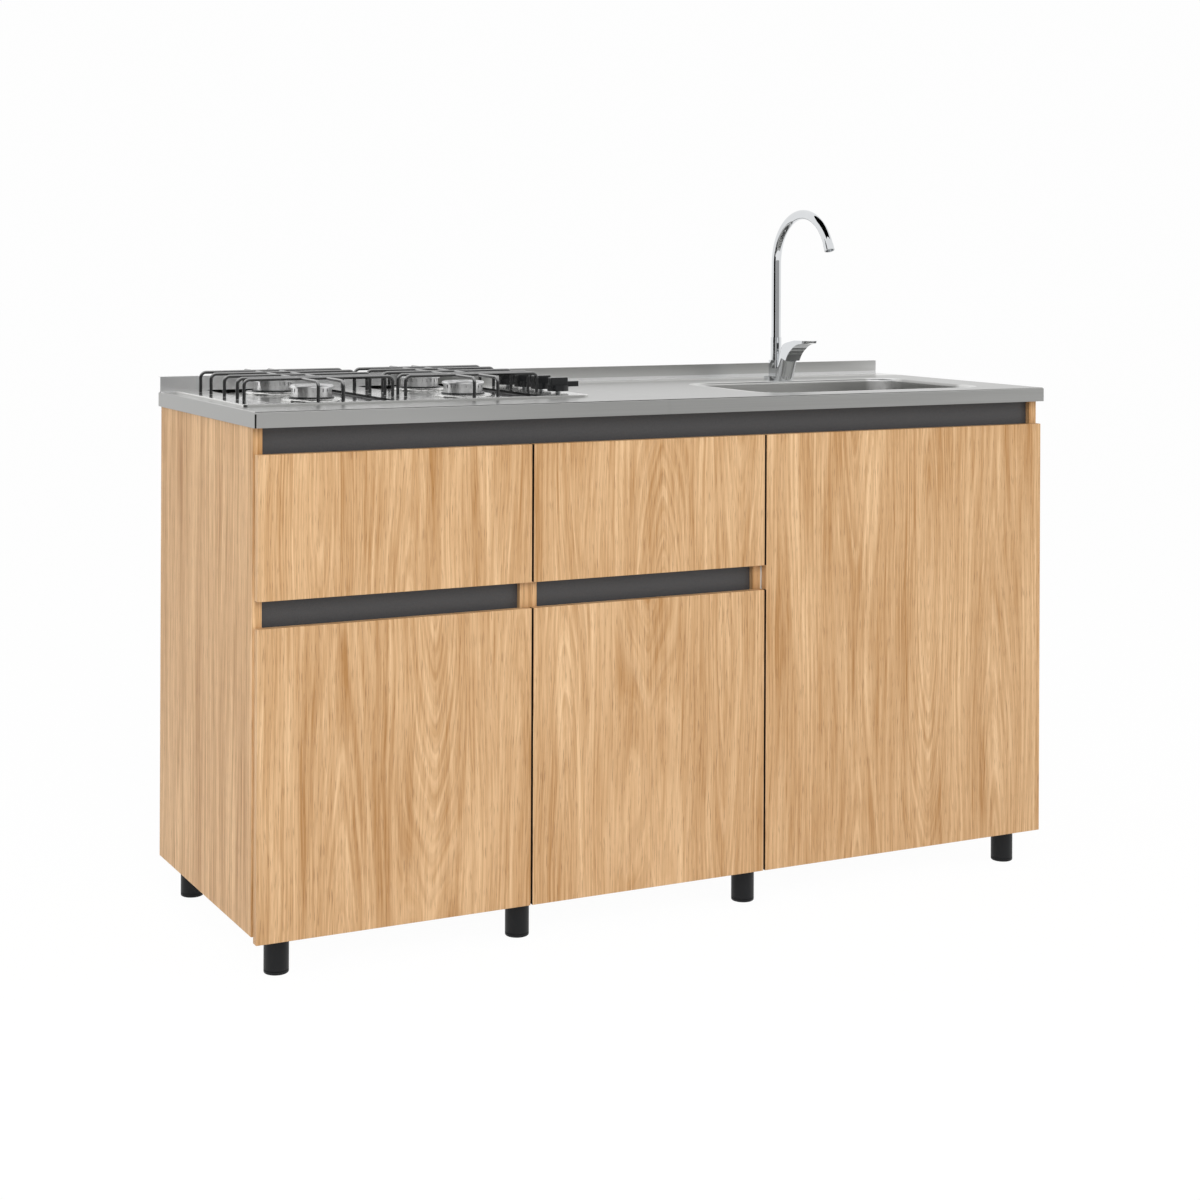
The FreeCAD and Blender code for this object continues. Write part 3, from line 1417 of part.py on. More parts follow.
def hinge_link(name, edge, side, z):
    """Link that turns on the arm's pin and reaches into the cup."""
    body = new_body(name, edge + side * arm_pivot_inset, front_back_plane - arm_pivot_depth, z)
    reach_x = -side * (link_length * cosine(link_angle))
    reach_y = link_length * sine(link_angle)
    side_x = link_tip_radius * sine(link_angle)
    side_y = link_tip_radius * cosine(link_angle)
    eye = sketch_on(body, "XY_Plane")
    draw_circle(eye, 0, 0, link_eye_radius)
    pad(body, eye, link_height, both_sides=True)
    bar = sketch_on(body, "XY_Plane")
    draw_polygon(bar, [
        (side * side_x, side_y), (reach_x + side * side_x, reach_y + side_y),
        (reach_x - side * side_x, reach_y - side_y), (-side * side_x, -side_y),
    ])
    pad(body, bar, link_height, both_sides=True)
    end = sketch_on(body, "XY_Plane")
    draw_circle(end, reach_x, reach_y, link_tip_radius)
    pad(body, end, link_height, both_sides=True)
    bore = sketch_on(body, "XY_Plane")
    draw_circle(bore, 0, 0, hinge_pin_radius + pivot_play)
    pocket(body, bore, 2 * link_height, both_sides=True)
    return body


def doors():
    """Three doors with their cups and links; the arms are one set on the carcass."""
    arms = []
    hung = (("a", "left", door_top, 2), ("b", "right", door_top, 2), ("c", "right", drawer_front_top, 3))
    for name, hinge_side, top, count in hung:
        module = modules[name]
        width = module["front_right"] - module["front_left"]
        height = top - door_bottom
        cup_inset = cup_edge + cup_radius
        on_left = hinge_side == "left"
        side = 1 if on_left else -1
        edge = module["front_left"] if on_left else module["front_right"]
        cup_x = cup_inset if on_left else width - cup_inset
        spacing = (height - 2 * hinge_end_distance) / (count - 1)
        levels = [hinge_end_distance + spacing * row for row in range(count)]
        panel = front_panel(f"door_{name}", module["front_left"], door_bottom, width, height,
                            [(cup_x, level) for level in levels])
        keep(f"door_{name}", panel)
        wall = (module["inner_left"] if on_left else module["inner_right"]) - edge
        cups, links = [], []
        for row, level in enumerate(levels):
            z = door_bottom + level
            cups.append(hinge_cup(f"hinge_cup_{name}_{row}", module["front_left"] + cup_x, z))
            arms.append(hinge_arm(f"hinge_arm_{name}_{row}", edge, side, z, wall))
            links.append(hinge_link(f"hinge_link_{name}_{row}", edge, side, z))
        keep(f"hinge_cups_{name}", group(f"hinge_cups_{name}", cups))
        keep(f"hinge_links_{name}", group(f"hinge_links_{name}", links))
    keep("hinge_arms", group("hinge_arms", arms))


def cabinet():
    """Build every piece."""
    carcass()
    legs()
    worktop()
    battens()
    sink_bowl()
    waste()
    hob_plate()
    burners()
    grates()
    gas_train()
    for index, y in enumerate(knob_rows, start=1):
        knob(index, y)
    tap_body()
    tap_cartridge()
    tap_lever()
    tap_spout()
    clamp_nuts()
    keep("runners_fixed", group("runners_fixed", drawer("a") + drawer("b")))
    doors()


def check():
    """Stop if any object failed or any piece is not a sound solid."""
    doc.recompute()
    failed = [obj.Label for obj in doc.Objects if "Invalid" in obj.State or "Error" in obj.State]
    unsound = [name for name, obj in parts.items() if obj.Shape.isNull() or not obj.Shape.isValid()]
    hollow = [name for name, obj in parts.items() if not obj.Shape.Solids]
    if failed or unsound or hollow:
        raise RuntimeError(f"failed {failed}, unsound {unsound}, without a solid {hollow}")


def write():
    """Write one STEP file for each piece."""
    os.makedirs("parts", exist_ok=True)
    for name, obj in parts.items():
        obj.Shape.exportStep(f"parts/{name}.step")
    whole = Part.makeCompound([obj.Shape for obj in parts.values()]).BoundBox
    print(len(parts), "pieces,", sum(len(obj.Shape.Solids) for obj in parts.values()), "solids")
    print("size", round(whole.XLength, 1), round(whole.YLength, 1), round(whole.ZLength, 1))


cabinet()
check()
write()
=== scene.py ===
# %% [markdown]
# # A kitchen base cabinet with hob, sink and tap
#
# The cabinet is a row of three melamine-faced modules under one folded stainless worktop.
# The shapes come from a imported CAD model. This lesson adds what the eye reads on top of them:
# the printed oak, the brushed steel, the chrome, the enamel, the light and the camera.

import math

import bpy
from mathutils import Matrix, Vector

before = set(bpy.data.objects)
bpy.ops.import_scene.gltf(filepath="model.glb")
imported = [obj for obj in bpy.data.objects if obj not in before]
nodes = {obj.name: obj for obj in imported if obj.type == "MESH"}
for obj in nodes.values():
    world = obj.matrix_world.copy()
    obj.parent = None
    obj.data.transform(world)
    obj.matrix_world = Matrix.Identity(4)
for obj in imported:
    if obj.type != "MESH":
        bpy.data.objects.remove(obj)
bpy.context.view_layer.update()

# %% [markdown]
# ## Helpers
#
# Colours are written the way a paint chart gives them, as sRGB hex, and one function makes them linear.
# A second function adds any node: it sets the node's options and fills its sockets with values or links.
# A third starts a material and hands back its surface, so each finish below reads as a list of its parts.
# The last measures a node, because some marks sit at a piece's edge and should follow it.

# %% Colour, node and measuring helpers
MM = 0.001


def linear(code):
    """An sRGB hex colour as linear red, green, blue and full alpha."""
    shares = [int(code[i:i + 2], 16) / 255 for i in (1, 3, 5)]
    return [s / 12.92 if s <= 0.04045 else ((s + 0.055) / 1.055) ** 2.4 for s in shares] + [1.0]


def add(tree, kind, sockets=(), **options):
    """Add a shader node, set its options, and give each named socket a value or a link."""
    node = tree.nodes.new(f"ShaderNode{kind}")
    for option, value in options.items():
        setattr(node, option, value)
    for socket, value in dict(sockets).items():
        if isinstance(value, bpy.types.NodeSocket):
            tree.links.new(value, node.inputs[socket])
        else:
            node.inputs[socket].default_value = value
    return node


def new_finish(name, **shader):
    """A material with its principled surface, given by the surface's own socket names."""
    material = bpy.data.materials.new(name)
    material.use_nodes = True
    surface = material.node_tree.nodes["Principled BSDF"]
    for socket, value in shader.items():
        surface.inputs[socket.replace("_", " ")].default_value = value
    return material, material.node_tree, surface


def box_mm(name):
    """The low and the high corner of a node's own box, in millimetres."""
    corners = [Vector(corner) / MM for corner in nodes[name].bound_box]
    return Vector(map(min, zip(*corners))), Vector(map(max, zip(*corners)))


print("oak in linear light", [round(v, 3) for v in linear("#DDB27E")])
print("worktop in millimetres", [[round(v, 1) for v in corner] for corner in box_mm("worktop")])

# %% [markdown]
# ## Oak melamine
#
# The fronts and sides are chipboard faced with paper that is printed as oak and pressed under melamine.
# The print copies flat-sawn veneer: mostly straight, with soft flames where the saw met a log's heart.
# A picture of oak would be quick but would repeat, so the print is worked out from the log instead.
# First, each point gets its place across and up the board. No tree grows ruler-straight, so the place
# across drifts a little to and fro.

# %% Places on the board
# The grain drifts sideways by this much, over spans across the board, up it and from heart to heart.
DRIFT_MM = 26
DRIFT_SPAN_MM = (85, 480, 50)


def board_places(tree, heart):
    """Distances in millimetres across the board, with its drift, and up the board."""
    place = add(tree, "TexCoord").outputs["Object"]
    in_mm = add(tree, "VectorMath", {0: place, "Scale": 1 / MM}, operation="SCALE").outputs[0]
    axes = add(tree, "SeparateXYZ", {"Vector": in_mm})
    up = axes.outputs["Z"]
    # Every board stands square to the room, so X and Y together run across it whichever way it faces.
    across = add(tree, "Math", {0: axes.outputs["X"], 1: axes.outputs["Y"]}).outputs[0]
    flat = add(tree, "CombineXYZ", {"X": across, "Y": up, "Z": heart}).outputs[0]
    span = [1 / length for length in DRIFT_SPAN_MM]
    slow = add(tree, "VectorMath", {0: flat, 1: span}, operation="MULTIPLY").outputs[0]
    drift = add(tree, "TexNoise", {"Vector": slow, "Scale": 1, "Detail": 1}).outputs[0]
    bent = add(tree, "Math", {0: drift, 1: DRIFT_MM, 2: across}, operation="MULTIPLY_ADD").outputs[0]
    return bent, up


print("grain drifts by up to", DRIFT_MM, "mm")

# %% [markdown]
# ### Flames
#
# Leaves of veneer lie side by side, and here each stave of the print is a hand wide. A point gets a distance
# from its stave's heart line, which sways up and down the board, more in some staves than in others.
# Grain drawn at such a distance closes into the pointed arches of flat-sawn oak.
# Arches could also be painted, but then every board would need a painting of its own.

# %% Distances in the log
STAVE_MM = 150
FLAME_MM = 1700
SWAY_MM = 60
CORE_MM = 8
# From one stave to the next, flames start this share of a turn later, and their strength this angle later.
STAVE_TURN = 0.382
STAVE_ANGLE = 1.7
# The stillest stave has this share of the liveliest one's sway.
LEAST_SWAY = 0.1


def log_rings(tree, bent, up, heart, phase, sway):
    """The distance in millimetres from the stave's heart, with the sway of its flames."""
    start = 0.5 - (heart + DRIFT_MM / 2) / STAVE_MM
    staves = add(tree, "Math", {0: bent, 1: 1 / STAVE_MM, 2: start}, operation="MULTIPLY_ADD").outputs[0]
    stave = add(tree, "Math", {0: staves}, operation="FLOOR").outputs[0]
    share = add(tree, "Math", {0: staves}, operation="FRACT").outputs[0]
    half = -STAVE_MM / 2
    side = add(tree, "Math", {0: share, 1: STAVE_MM, 2: half}, operation="MULTIPLY_ADD").outputs[0]
    square = add(tree, "Math", {0: side, 1: side}, operation="MULTIPLY").outputs[0]
    core = add(tree, "Math", {0: square, 1: CORE_MM ** 2}).outputs[0]
    radius = add(tree, "Math", {0: core}, operation="SQRT").outputs[0]

    # The hump is one at the heart and falls smoothly to nothing at the stave's edges.
    fall = -4 / STAVE_MM ** 2
    lid = add(tree, "Math", {0: square, 1: fall, 2: 1}, operation="MULTIPLY_ADD").outputs[0]
    hump = add(tree, "Math", {0: lid, 1: lid}, operation="MULTIPLY").outputs[0]
    rise = add(tree, "Math", {0: up, 1: 1 / FLAME_MM, 2: phase}, operation="MULTIPLY_ADD").outputs[0]
    turn = add(tree, "Math", {0: stave, 1: STAVE_TURN, 2: rise}, operation="MULTIPLY_ADD").outputs[0]
    angle = add(tree, "Math", {0: turn, 1: math.tau}, operation="MULTIPLY").outputs[0]
    wave = add(tree, "Math", {0: angle}, operation="SINE").outputs[0]
    flame = add(tree, "Math", {0: wave, 1: hump}, operation="MULTIPLY").outputs[0]

    odd = add(tree, "Math", {0: stave, 1: STAVE_ANGLE}, operation="MULTIPLY").outputs[0]
    strong = add(tree, "Math", {0: odd}, operation="COSINE").outputs[0]
    strengths = {"Value": strong, "From Min": -1.0, "To Min": LEAST_SWAY * sway, "To Max": sway}
    reach = add(tree, "MapRange", strengths).outputs[0]
    sway_mm = add(tree, "Math", {0: flame, 1: reach}, operation="MULTIPLY").outputs[0]
    return add(tree, "Math", {0: radius, 1: sway_mm}).outputs[0]


print("staves", STAVE_MM, "mm wide, flames", FLAME_MM, "mm apart")

# %% [markdown]
# ### Grain and year rings
#
# Streaks are read at the swaying distance and bend into flames. Stripes and fibres are read straight across.
# Year rings follow the swaying distance too, and darken towards their late wood.
# A ready-made ring texture would be as even as a target, so noises are summed instead.

# %% Grain and year rings
# Real pores are about 0.3 mm wide and fibres finer still; both are drawn as wide as the picture can show.
# Each noise has a width and a length in millimetres, its fineness, and its weight in the shade.
GRAIN = {
    "streak": (4.6, 300, 4, 1.1),
}
PLAIN = {
    "stripe": (4.5, 480, 3, 0.6),
    "fibre": (1.7, 85, 3, 0.8),
    "tone": (36, 600, 2, 1.0),
    "pore": (1.4, 34, 2, 0),
}
LAYER_MM = 60
RING_MM = 8.5
# Late wood starts and ends at these shares of a ring, and is this dark at most.
LATE_WOOD = (0.3, 0.9)
RING_DARKNESS = 0.3


def grain_clouds(tree, ring_mm, bent, up, heart):
    """Each noise by its name, and the weighted sum of all as a shade."""
    curved = add(tree, "CombineXYZ", {"X": ring_mm, "Y": up, "Z": bent}).outputs[0]
    straight = add(tree, "CombineXYZ", {"X": bent, "Y": up, "Z": heart}).outputs[0]
    clouds = {}
    shade = 0.0
    for label, (wide, long, detail, weight) in (GRAIN | PLAIN).items():
        where = curved if label in GRAIN else straight
        stretch = (1 / wide, 1 / long, 1 / LAYER_MM)
        spot = add(tree, "VectorMath", {0: where, 1: stretch}, operation="MULTIPLY").outputs[0]
        clouds[label] = add(tree, "TexNoise", {"Vector": spot, "Scale": 1, "Detail": detail}).outputs[0]
        terms = {0: clouds[label], 1: weight, 2: shade}
        shade = add(tree, "Math", terms, operation="MULTIPLY_ADD").outputs[0]
    return clouds, shade


def ring_lines(tree, ring_mm, clouds):
    """How dark each year ring is: it grows with the late wood and stops short at the next spring."""
    age = add(tree, "Math", {0: ring_mm, 1: 1 / RING_MM}, operation="MULTIPLY").outputs[0]
    year = add(tree, "Math", {0: age, 1: clouds["tone"]}).outputs[0]
    ring = add(tree, "Math", {0: year}, operation="FRACT").outputs[0]
    growth = {"Value": ring, "From Min": LATE_WOOD[0], "From Max": LATE_WOOD[1], "To Max": clouds["streak"]}
    late = add(tree, "MapRange", growth, interpolation_type="SMOOTHSTEP").outputs[0]
    stop = {"Value": ring, "From Min": LATE_WOOD[1], "From Max": 1.0, "To Min": RING_DARKNESS, "To Max": 0.0}
    spring = add(tree, "MapRange", stop).outputs[0]
    return add(tree, "Math", {0: late, 1: spring}, operation="MULTIPLY").outputs[0]


print("oak noises", list(GRAIN), list(PLAIN))

# %% [markdown]
# ### Joints between fronts
#
# Where one shut front meets the next, the joint is a fine black line, which soft lamps would leave grey.
# An occlusion node could darken it, but adds noise. Here the edge gets a painted shade, near black, by its
# place in the room, so an opened front shows a plain oak edge.

# %% Joint shade
# The shade leaves off at the finger grip between doors and drawers, and in front of the row of fronts.
grip_low = box_mm("door_b")[1].z
grip_high = box_mm("drawer_front_b")[0].z
row_front = box_mm("door_b")[0].y - 0.5
FACES_LEFT = -0.7


def joint_shade(tree, up):
    """The painted shade: one on the left edge of a shut front, and nothing elsewhere."""
    own_normal = add(tree, "TexCoord").outputs["Normal"]
    facing = add(tree, "SeparateXYZ", {"Vector": own_normal}).outputs["X"]
    left = add(tree, "Math", {0: facing, 1: FACES_LEFT}, operation="LESS_THAN").outputs[0]
    room_place = add(tree, "NewGeometry").outputs["Position"]
    depth = add(tree, "SeparateXYZ", {"Vector": room_place}).outputs["Y"]
    shut = add(tree, "Math", {0: depth, 1: row_front * MM}, operation="GREATER_THAN").outputs[0]
    edge = add(tree, "Math", {0: left, 1: shut}, operation="MULTIPLY").outputs[0]
    middle = (grip_low + grip_high) / 2
    half = (grip_high - grip_low) / 2
    grip = add(tree, "Math", {0: up, 1: middle, 2: half}, operation="COMPARE").outputs[0]
    return add(tree, "Math", {0: edge, 1: grip}, operation="SUBTRACT", use_clamp=True).outputs[0]


print("finger grip from", round(grip_low, 1), "to", round(grip_high, 1), "mm")

# %% [markdown]
# ### The printed board
#
# Shade, rings and pores are laid over each other as tan inks, from pale to dark.
# Pores are short and straight, as they are in oak, and are pressed in a little, so light catches them.
# Melamine is a hard resin with a satin press plate, which gives the middling roughness.

# %% Oak melamine
SHADE_RANGE = (1.325, 2.185)
PORE_RANGE = (0.58, 0.7)
PORE_DARKNESS = 0.5
PORE_DEPTH_MM = 0.12


def oak_melamine(name, heart, phase, sway=SWAY_MM, jointed=False, light="#F3CD9F", dark="#B5844E"):
    """Printed oak, satin: warm tan, mostly straight, with one heart; jointed paints shade on its shut left
    edge.
    """
    material, tree, surface = new_finish(name, Roughness=0.5)
    bent, up = board_places(tree, heart)
    ring_mm = log_rings(tree, bent, up, heart, phase, sway)
    clouds, shade = grain_clouds(tree, ring_mm, bent, up, heart)
    ink = {"Value": shade, "From Min": SHADE_RANGE[0], "From Max": SHADE_RANGE[1]}
    pale = add(tree, "MapRange", ink).outputs[0]
    body = add(tree, "Mix", {0: pale, 6: linear(dark), 7: linear(light)}, data_type="RGBA").outputs[2]
    line = ring_lines(tree, ring_mm, clouds)
    ringed = add(tree, "Mix", {0: line, 6: body, 7: linear("#9C6B39")}, data_type="RGBA").outputs[2]
    dots = {"Value": clouds["pore"], "From Min": PORE_RANGE[0], "From Max": PORE_RANGE[1]}
    pore = add(tree, "MapRange", dots | {"To Max": PORE_DARKNESS}).outputs[0]
    printed = add(tree, "Mix", {0: pore, 6: ringed, 7: linear("#85572C")}, data_type="RGBA").outputs[2]
    if jointed:
        # Painted shade: the shut left edge is mixed to near black.
        joint = joint_shade(tree, up)
        printed = add(tree, "Mix", {0: joint, 6: printed, 7: linear("#17130F")}, data_type="RGBA").outputs[2]
    tree.links.new(printed, surface.inputs["Base Color"])
    dent = {"Strength": 0.25, "Distance": PORE_DEPTH_MM * MM, "Height": pore}
    tree.links.new(add(tree, "Bump", dent, invert=True).outputs[0], surface.inputs["Normal"])
    return material


print("shade runs from", SHADE_RANGE[0], "to", SHADE_RANGE[1])

# %% [markdown]
# ### Fronts
#
# Every front is cut from another place of the sheet, so each has a heart and a flame of its own.
# One print across all of them would be the simpler way, but would run on from door to door.

# %% Oak fronts
# Each front has a heart in millimetres across the run, and a phase that says where its flames point.
oak_fronts = {
    "drawer_front_a": (-900, 0.30),
    "drawer_front_b": (-300, 0.62),
    "door_a": (-712, 0.28),
    "door_b": (-330, 0.12),
    "door_c": (236, 0.40),
}
right_of_a_joint = ("drawer_front_b", "door_b", "door_c")
finishes = {board: oak_melamine(f"oak_melamine_{board}", heart, phase, jointed=board in right_of_a_joint)
            for board, (heart, phase) in oak_fronts.items()}
print("oak fronts", list(finishes))

# %% [markdown]
# ### Sides and partitions
#
# These boards are cut from the quieter part of the sheet, so they hardly sway.
# The eye sees the side at a slant, where fine grain blends, so its print has a little more contrast.

# %% Oak sides
oak_sides = (
    "side_panel_left",
    "side_panel_right",
    "partition_a_right",
    "partition_b_left",
    "partition_b_right",
)
SIDE_SWAY_MM = 10
SIDE_HEART_STEP_MM = 37
SIDE_PHASE_STEP = 0.2
side_tones = {"light": "#FBD3A1", "dark": "#AC7940"}
for index, board in enumerate(oak_sides):
    heart = SIDE_HEART_STEP_MM * index
    phase = SIDE_PHASE_STEP * index
    finishes[board] = oak_melamine(f"oak_melamine_{board}", heart, phase, SIDE_SWAY_MM, **side_tones)
print("oak boards", len(finishes))

# %% [markdown]
# ## Plain boards
#
# The inside is white melamine, the finger grips are anthracite melamine, and the backs are smooth hardboard.
# All three are pressed sheets, so the eye gets a fine pebble or a fibre speckle and hardly any colour change.
# Painted colour alone would look like plastic; a small bump with its grit in millimetres cures that.

# %% Plain boards
SPECK_RANGE = (0.35, 0.7)


def pressed_board(name, colour, speck, grit_mm, rough, relief_mm):
    """A pressed sheet: one colour with specks of another, and a fine pebble over it."""
    material, tree, surface = new_finish(name, Roughness=rough)
    place = add(tree, "TexCoord").outputs["Object"]
    grit = add(tree, "TexNoise", {"Vector": place, "Scale": 1 / (grit_mm * MM), "Detail": 3}).outputs[0]
    specks = {"Value": grit, "From Min": SPECK_RANGE[0], "From Max": SPECK_RANGE[1]}
    shade = add(tree, "MapRange", specks).outputs[0]
    colours = add(tree, "Mix", {0: shade, 6: linear(colour), 7: linear(speck)}, data_type="RGBA").outputs[2]
    tree.links.new(colours, surface.inputs["Base Color"])
    pebble = add(tree, "Bump", {"Strength": 0.3, "Distance": relief_mm * MM, "Height": grit})
    tree.links.new(pebble.outputs[0], surface.inputs["Normal"])
    return material


# Each has its colour, its specks' colour, its grit in millimetres, its roughness and its relief.
white_melamine = pressed_board("white_melamine", "#EDEAE2", "#E4E0D6", 1.6, 0.5, 0.05)
anthracite_melamine = pressed_board("anthracite_melamine", "#505051", "#48484A", 1.8, 0.55, 0.06)
hardboard = pressed_board("hardboard", "#A98A63", "#8C6D48", 2.6, 0.7, 0.08)
print("boards", [m.name for m in (white_melamine, anthracite_melamine, hardboard)])

# %% [markdown]
# ## Brushed stainless steel
#
# The worktop, bowl and hob plate are stainless sheet, ground with a belt along their length.
# The belt leaves scratches that are hair-thin and long, which blur reflections and streak them a little.
# A stretched noise gives the streaks to both colour and roughness.
# The sheet is also never quite flat, so a slow, shallow wave goes into the normal.
# The worktop has one crease more, where the press stopped, as a small step in its relief.
# Marks with a place of their own, mostly painted highlights and painted shade, are soft boxes, which follow a
# piece more simply than painted masks would.

# %% Brushed stainless steel
# Real belt scratches are near 0.05 mm wide; 1.2 mm is the finest that shows in the picture.
SCRATCH_MM = 1.2
SCRATCH_LENGTH_MM = 260
WAVE_MM = 240
WAVE_DEPTH_MM = 1.2
CREASE_HALF_MM = 4


def soft_box_mask(tree, in_mm, low, high, edge):
    """One inside a box in millimetres, fading to nothing over its soft edge."""
    middle = [(a + b) / 2 for a, b in zip(low, high)]
    half = [(b - a) / 2 for a, b in zip(low, high)]
    offset = add(tree, "VectorMath", {0: in_mm, 1: middle}, operation="SUBTRACT").outputs[0]
    away = add(tree, "VectorMath", {0: offset}, operation="ABSOLUTE").outputs[0]
    beyond = add(tree, "VectorMath", {0: away, 1: half}, operation="SUBTRACT").outputs[0]
    outside = add(tree, "VectorMath", {0: beyond, 1: (0, 0, 0)}, operation="MAXIMUM").outputs[0]
    far = add(tree, "VectorMath", {0: outside}, operation="LENGTH").outputs["Value"]
    return add(tree, "MapRange", {"Value": far, "From Max": edge, "To Min": 1.0, "To Max": 0.0}).outputs[0]


def brushed_steel(name, marks, colour, streak, rough, crease_mm=None):
    """Belt-ground stainless sheet, blurred along X, with its marks, mostly painted light and shade, and
    perhaps a crease.
    """
    material, tree, surface = new_finish(name, Metallic=1.0)
    place = add(tree, "TexCoord").outputs["Object"]
    in_mm = add(tree, "VectorMath", {0: place, "Scale": 1 / MM}, operation="SCALE").outputs[0]
    stretch = (1 / SCRATCH_LENGTH_MM, 1 / SCRATCH_MM, 1 / SCRATCH_MM)
    spot = add(tree, "VectorMath", {0: in_mm, 1: stretch}, operation="MULTIPLY").outputs[0]
    scratch = add(tree, "TexNoise", {"Vector": spot, "Scale": 1, "Detail": 2}).outputs[0]
    tones = {0: scratch, 6: linear(streak), 7: linear(colour)}
    colours = add(tree, "Mix", tones, data_type="RGBA").outputs[2]
    for mark, low, high, edge in marks.values():
        inside = soft_box_mask(tree, in_mm, low, high, edge)
        colours = add(tree, "Mix", {0: inside, 6: colours, 7: linear(mark)}, data_type="RGBA").outputs[2]
    tree.links.new(colours, surface.inputs["Base Color"])
    blur = add(tree, "MapRange", {"Value": scratch, "To Min": rough[0], "To Max": rough[1]}).outputs[0]
    tree.links.new(blur, surface.inputs["Roughness"])
    relief = add(tree, "TexNoise", {"Vector": place, "Scale": 1 / (WAVE_MM * MM), "Detail": 1}).outputs[0]
    if crease_mm is not None:
        east = add(tree, "SeparateXYZ", {"Vector": in_mm}).outputs["X"]
        ramp = {"Value": east, "From Min": crease_mm - CREASE_HALF_MM, "From Max": crease_mm + CREASE_HALF_MM}
        step = add(tree, "MapRange", ramp, interpolation_type="SMOOTHSTEP").outputs[0]
        relief = add(tree, "Math", {0: relief, 1: step}).outputs[0]
    wave = add(tree, "Bump", {"Strength": 0.5, "Distance": WAVE_DEPTH_MM * MM, "Height": relief})
    tree.links.new(wave.outputs[0], surface.inputs["Normal"])
    return material


print("scratches", SCRATCH_MM, "by", SCRATCH_LENGTH_MM, "mm")

# %% [markdown]
# ### Worktop
#
# One sheet is folded down at the front and sides and up at the back, and the corner's open seam is dark.
# Painted highlights lie by the upstand, on the bend at its foot and on the upstand behind the hob, a painted
# reflection lightens the left of the front, and painted shade darkens the left skirt.

# %% Worktop marks
# Each mark has a colour, two opposite corners and a soft edge; later marks lie over earlier ones.
(west, front, skirt), (east, back, crest) = box_mm("worktop")
deck = box_mm("sink_bowl")[1].z
worktop_painted_light_and_seam = {
    # Painted light and shade: a painted sheen by the upstand, painted highlights on its bend and on the
    # upstand behind the hob, a painted reflection left of the front, and painted shade on the left skirt. The
    # open seam alone is a dark joint.
    "painted_sheen_by_the_upstand": ("#EDEDEB", (-110, back - 55, deck - 1), (east + 10, back - 20, deck + 1), 35),
    "painted_highlight_on_the_bend": ("#FFFFFF", (-120, back - 13, deck - 0.5), (east + 2, back - 8.7, deck + 5), 1.0),
    "painted_highlight_behind_hob": ("#FFFFFF", (west - 2, back - 11, deck + 1), (-330, back - 8.7, crest + 2), 25),
    "painted_light_left_of_the_front": ("#C4C4C2", (west + 2, front - 2, skirt - 2), (-520, front + 25, deck + 1), 350),
    "painted_shade_on_left_skirt": ("#A4A4A2", (west - 2, front - 2, skirt - 2), (west + 0.5, back + 2, deck + 1), 0.3),
    "open_seam": ("#2E2E2E", (west + 0.4, front - 1, skirt - 2), (west + 2.6, front + 1.4, deck - 4), 0.6),
}
CREASE_MM = -33
worktop_steel = brushed_steel("brushed_stainless_worktop", worktop_painted_light_and_seam, "#BABAB8", "#ACACAA", (0.27, 0.36),
                              crease_mm=CREASE_MM)
print("worktop marks", list(worktop_painted_light_and_seam))

# %% [markdown]
# ### Bowl
#
# The bowl is drawn from the same sheet and is blurrier, because a belt can't reach into it.
# Painted light and shade lie on it: its far wall is painted darker to the right, its far corner has a painted
# highlight, and its right wall has painted shade.

# %% Bowl marks
# Places are counted from the far right corner of the bowl's rim.
rim = box_mm("sink_bowl")[1]
low = rim.z - 85
high = rim.z - 2
bowl_painted_light = {
    # Painted shade on the far and right walls, and a painted highlight in the far corner.
    "painted_shade_far_wall": ("#CDCDCB", (rim.x - 109, rim.y - 11, low), (rim.x - 57, rim.y + 3, high), 130),
    "painted_highlight_far_corner": ("#FFFFFF", (rim.x - 55, rim.y - 33, low), (rim.x + 3, rim.y + 3, high), 12),
    "painted_shade_right_wall": ("#AFAFAD", (rim.x - 14, rim.y - 229, low), (rim.x + 3, rim.y - 63, high), 15),
}
bowl_steel = brushed_steel("brushed_stainless_bowl", bowl_painted_light, "#E3E3E1", "#D8D8D6", (0.31, 0.41))
print("bowl marks", list(bowl_painted_light))

# %% [markdown]
# ### Hob plate
#
# The plate is polished further than the worktop, so it mirrors the burners.
# The right and far walls of its two basins see only the dark pan supports, and are painted near black as
# painted shade.

# %% Hob marks
# The left and right wall of each basin are counted from the plate's left edge.
basins = {"left": (52, 256), "right": (329, 519)}
BASIN_INSET_MM = 10
# Painted shade: the colour laid on the basins' right and far walls.
BASIN_WALL_PAINTED_SHADE = "#151515"
hob_low, hob_high = box_mm("hob_plate")
near = hob_low.y + BASIN_INSET_MM
far = hob_high.y - BASIN_INSET_MM
hob_painted_shade = {}
for label, walls in basins.items():
    left, right = [hob_low.x + wall for wall in walls]
    top = (right + 1, far, hob_high.z - 0.3)
    hob_painted_shade[f"{label}_basin_right_wall"] = (BASIN_WALL_PAINTED_SHADE, (right - 32, near, deck - 1), top, 4)
    hob_painted_shade[f"{label}_basin_far_wall"] = (BASIN_WALL_PAINTED_SHADE, (left - 1, far - 3.4, deck - 0.6), top, 0.6)
hob_steel = brushed_steel("brushed_stainless_hob", hob_painted_shade, "#EAEAE8", "#DEDEDC", (0.14, 0.22))
print("hob marks", list(hob_painted_shade))

# %% [markdown]
# ## Plated and cast metal
#
# The tap is brass under bright chromium, a near mirror. Hinges and runners are zinc plated, the valves
# plain brass, and the burner crowns are cast aluminium with turned sides.
# They differ in colour, in blur and in the size of their marks, so one function makes them all.

# %% Plated and cast metal
MARK_RANGE = (0.3, 0.7)


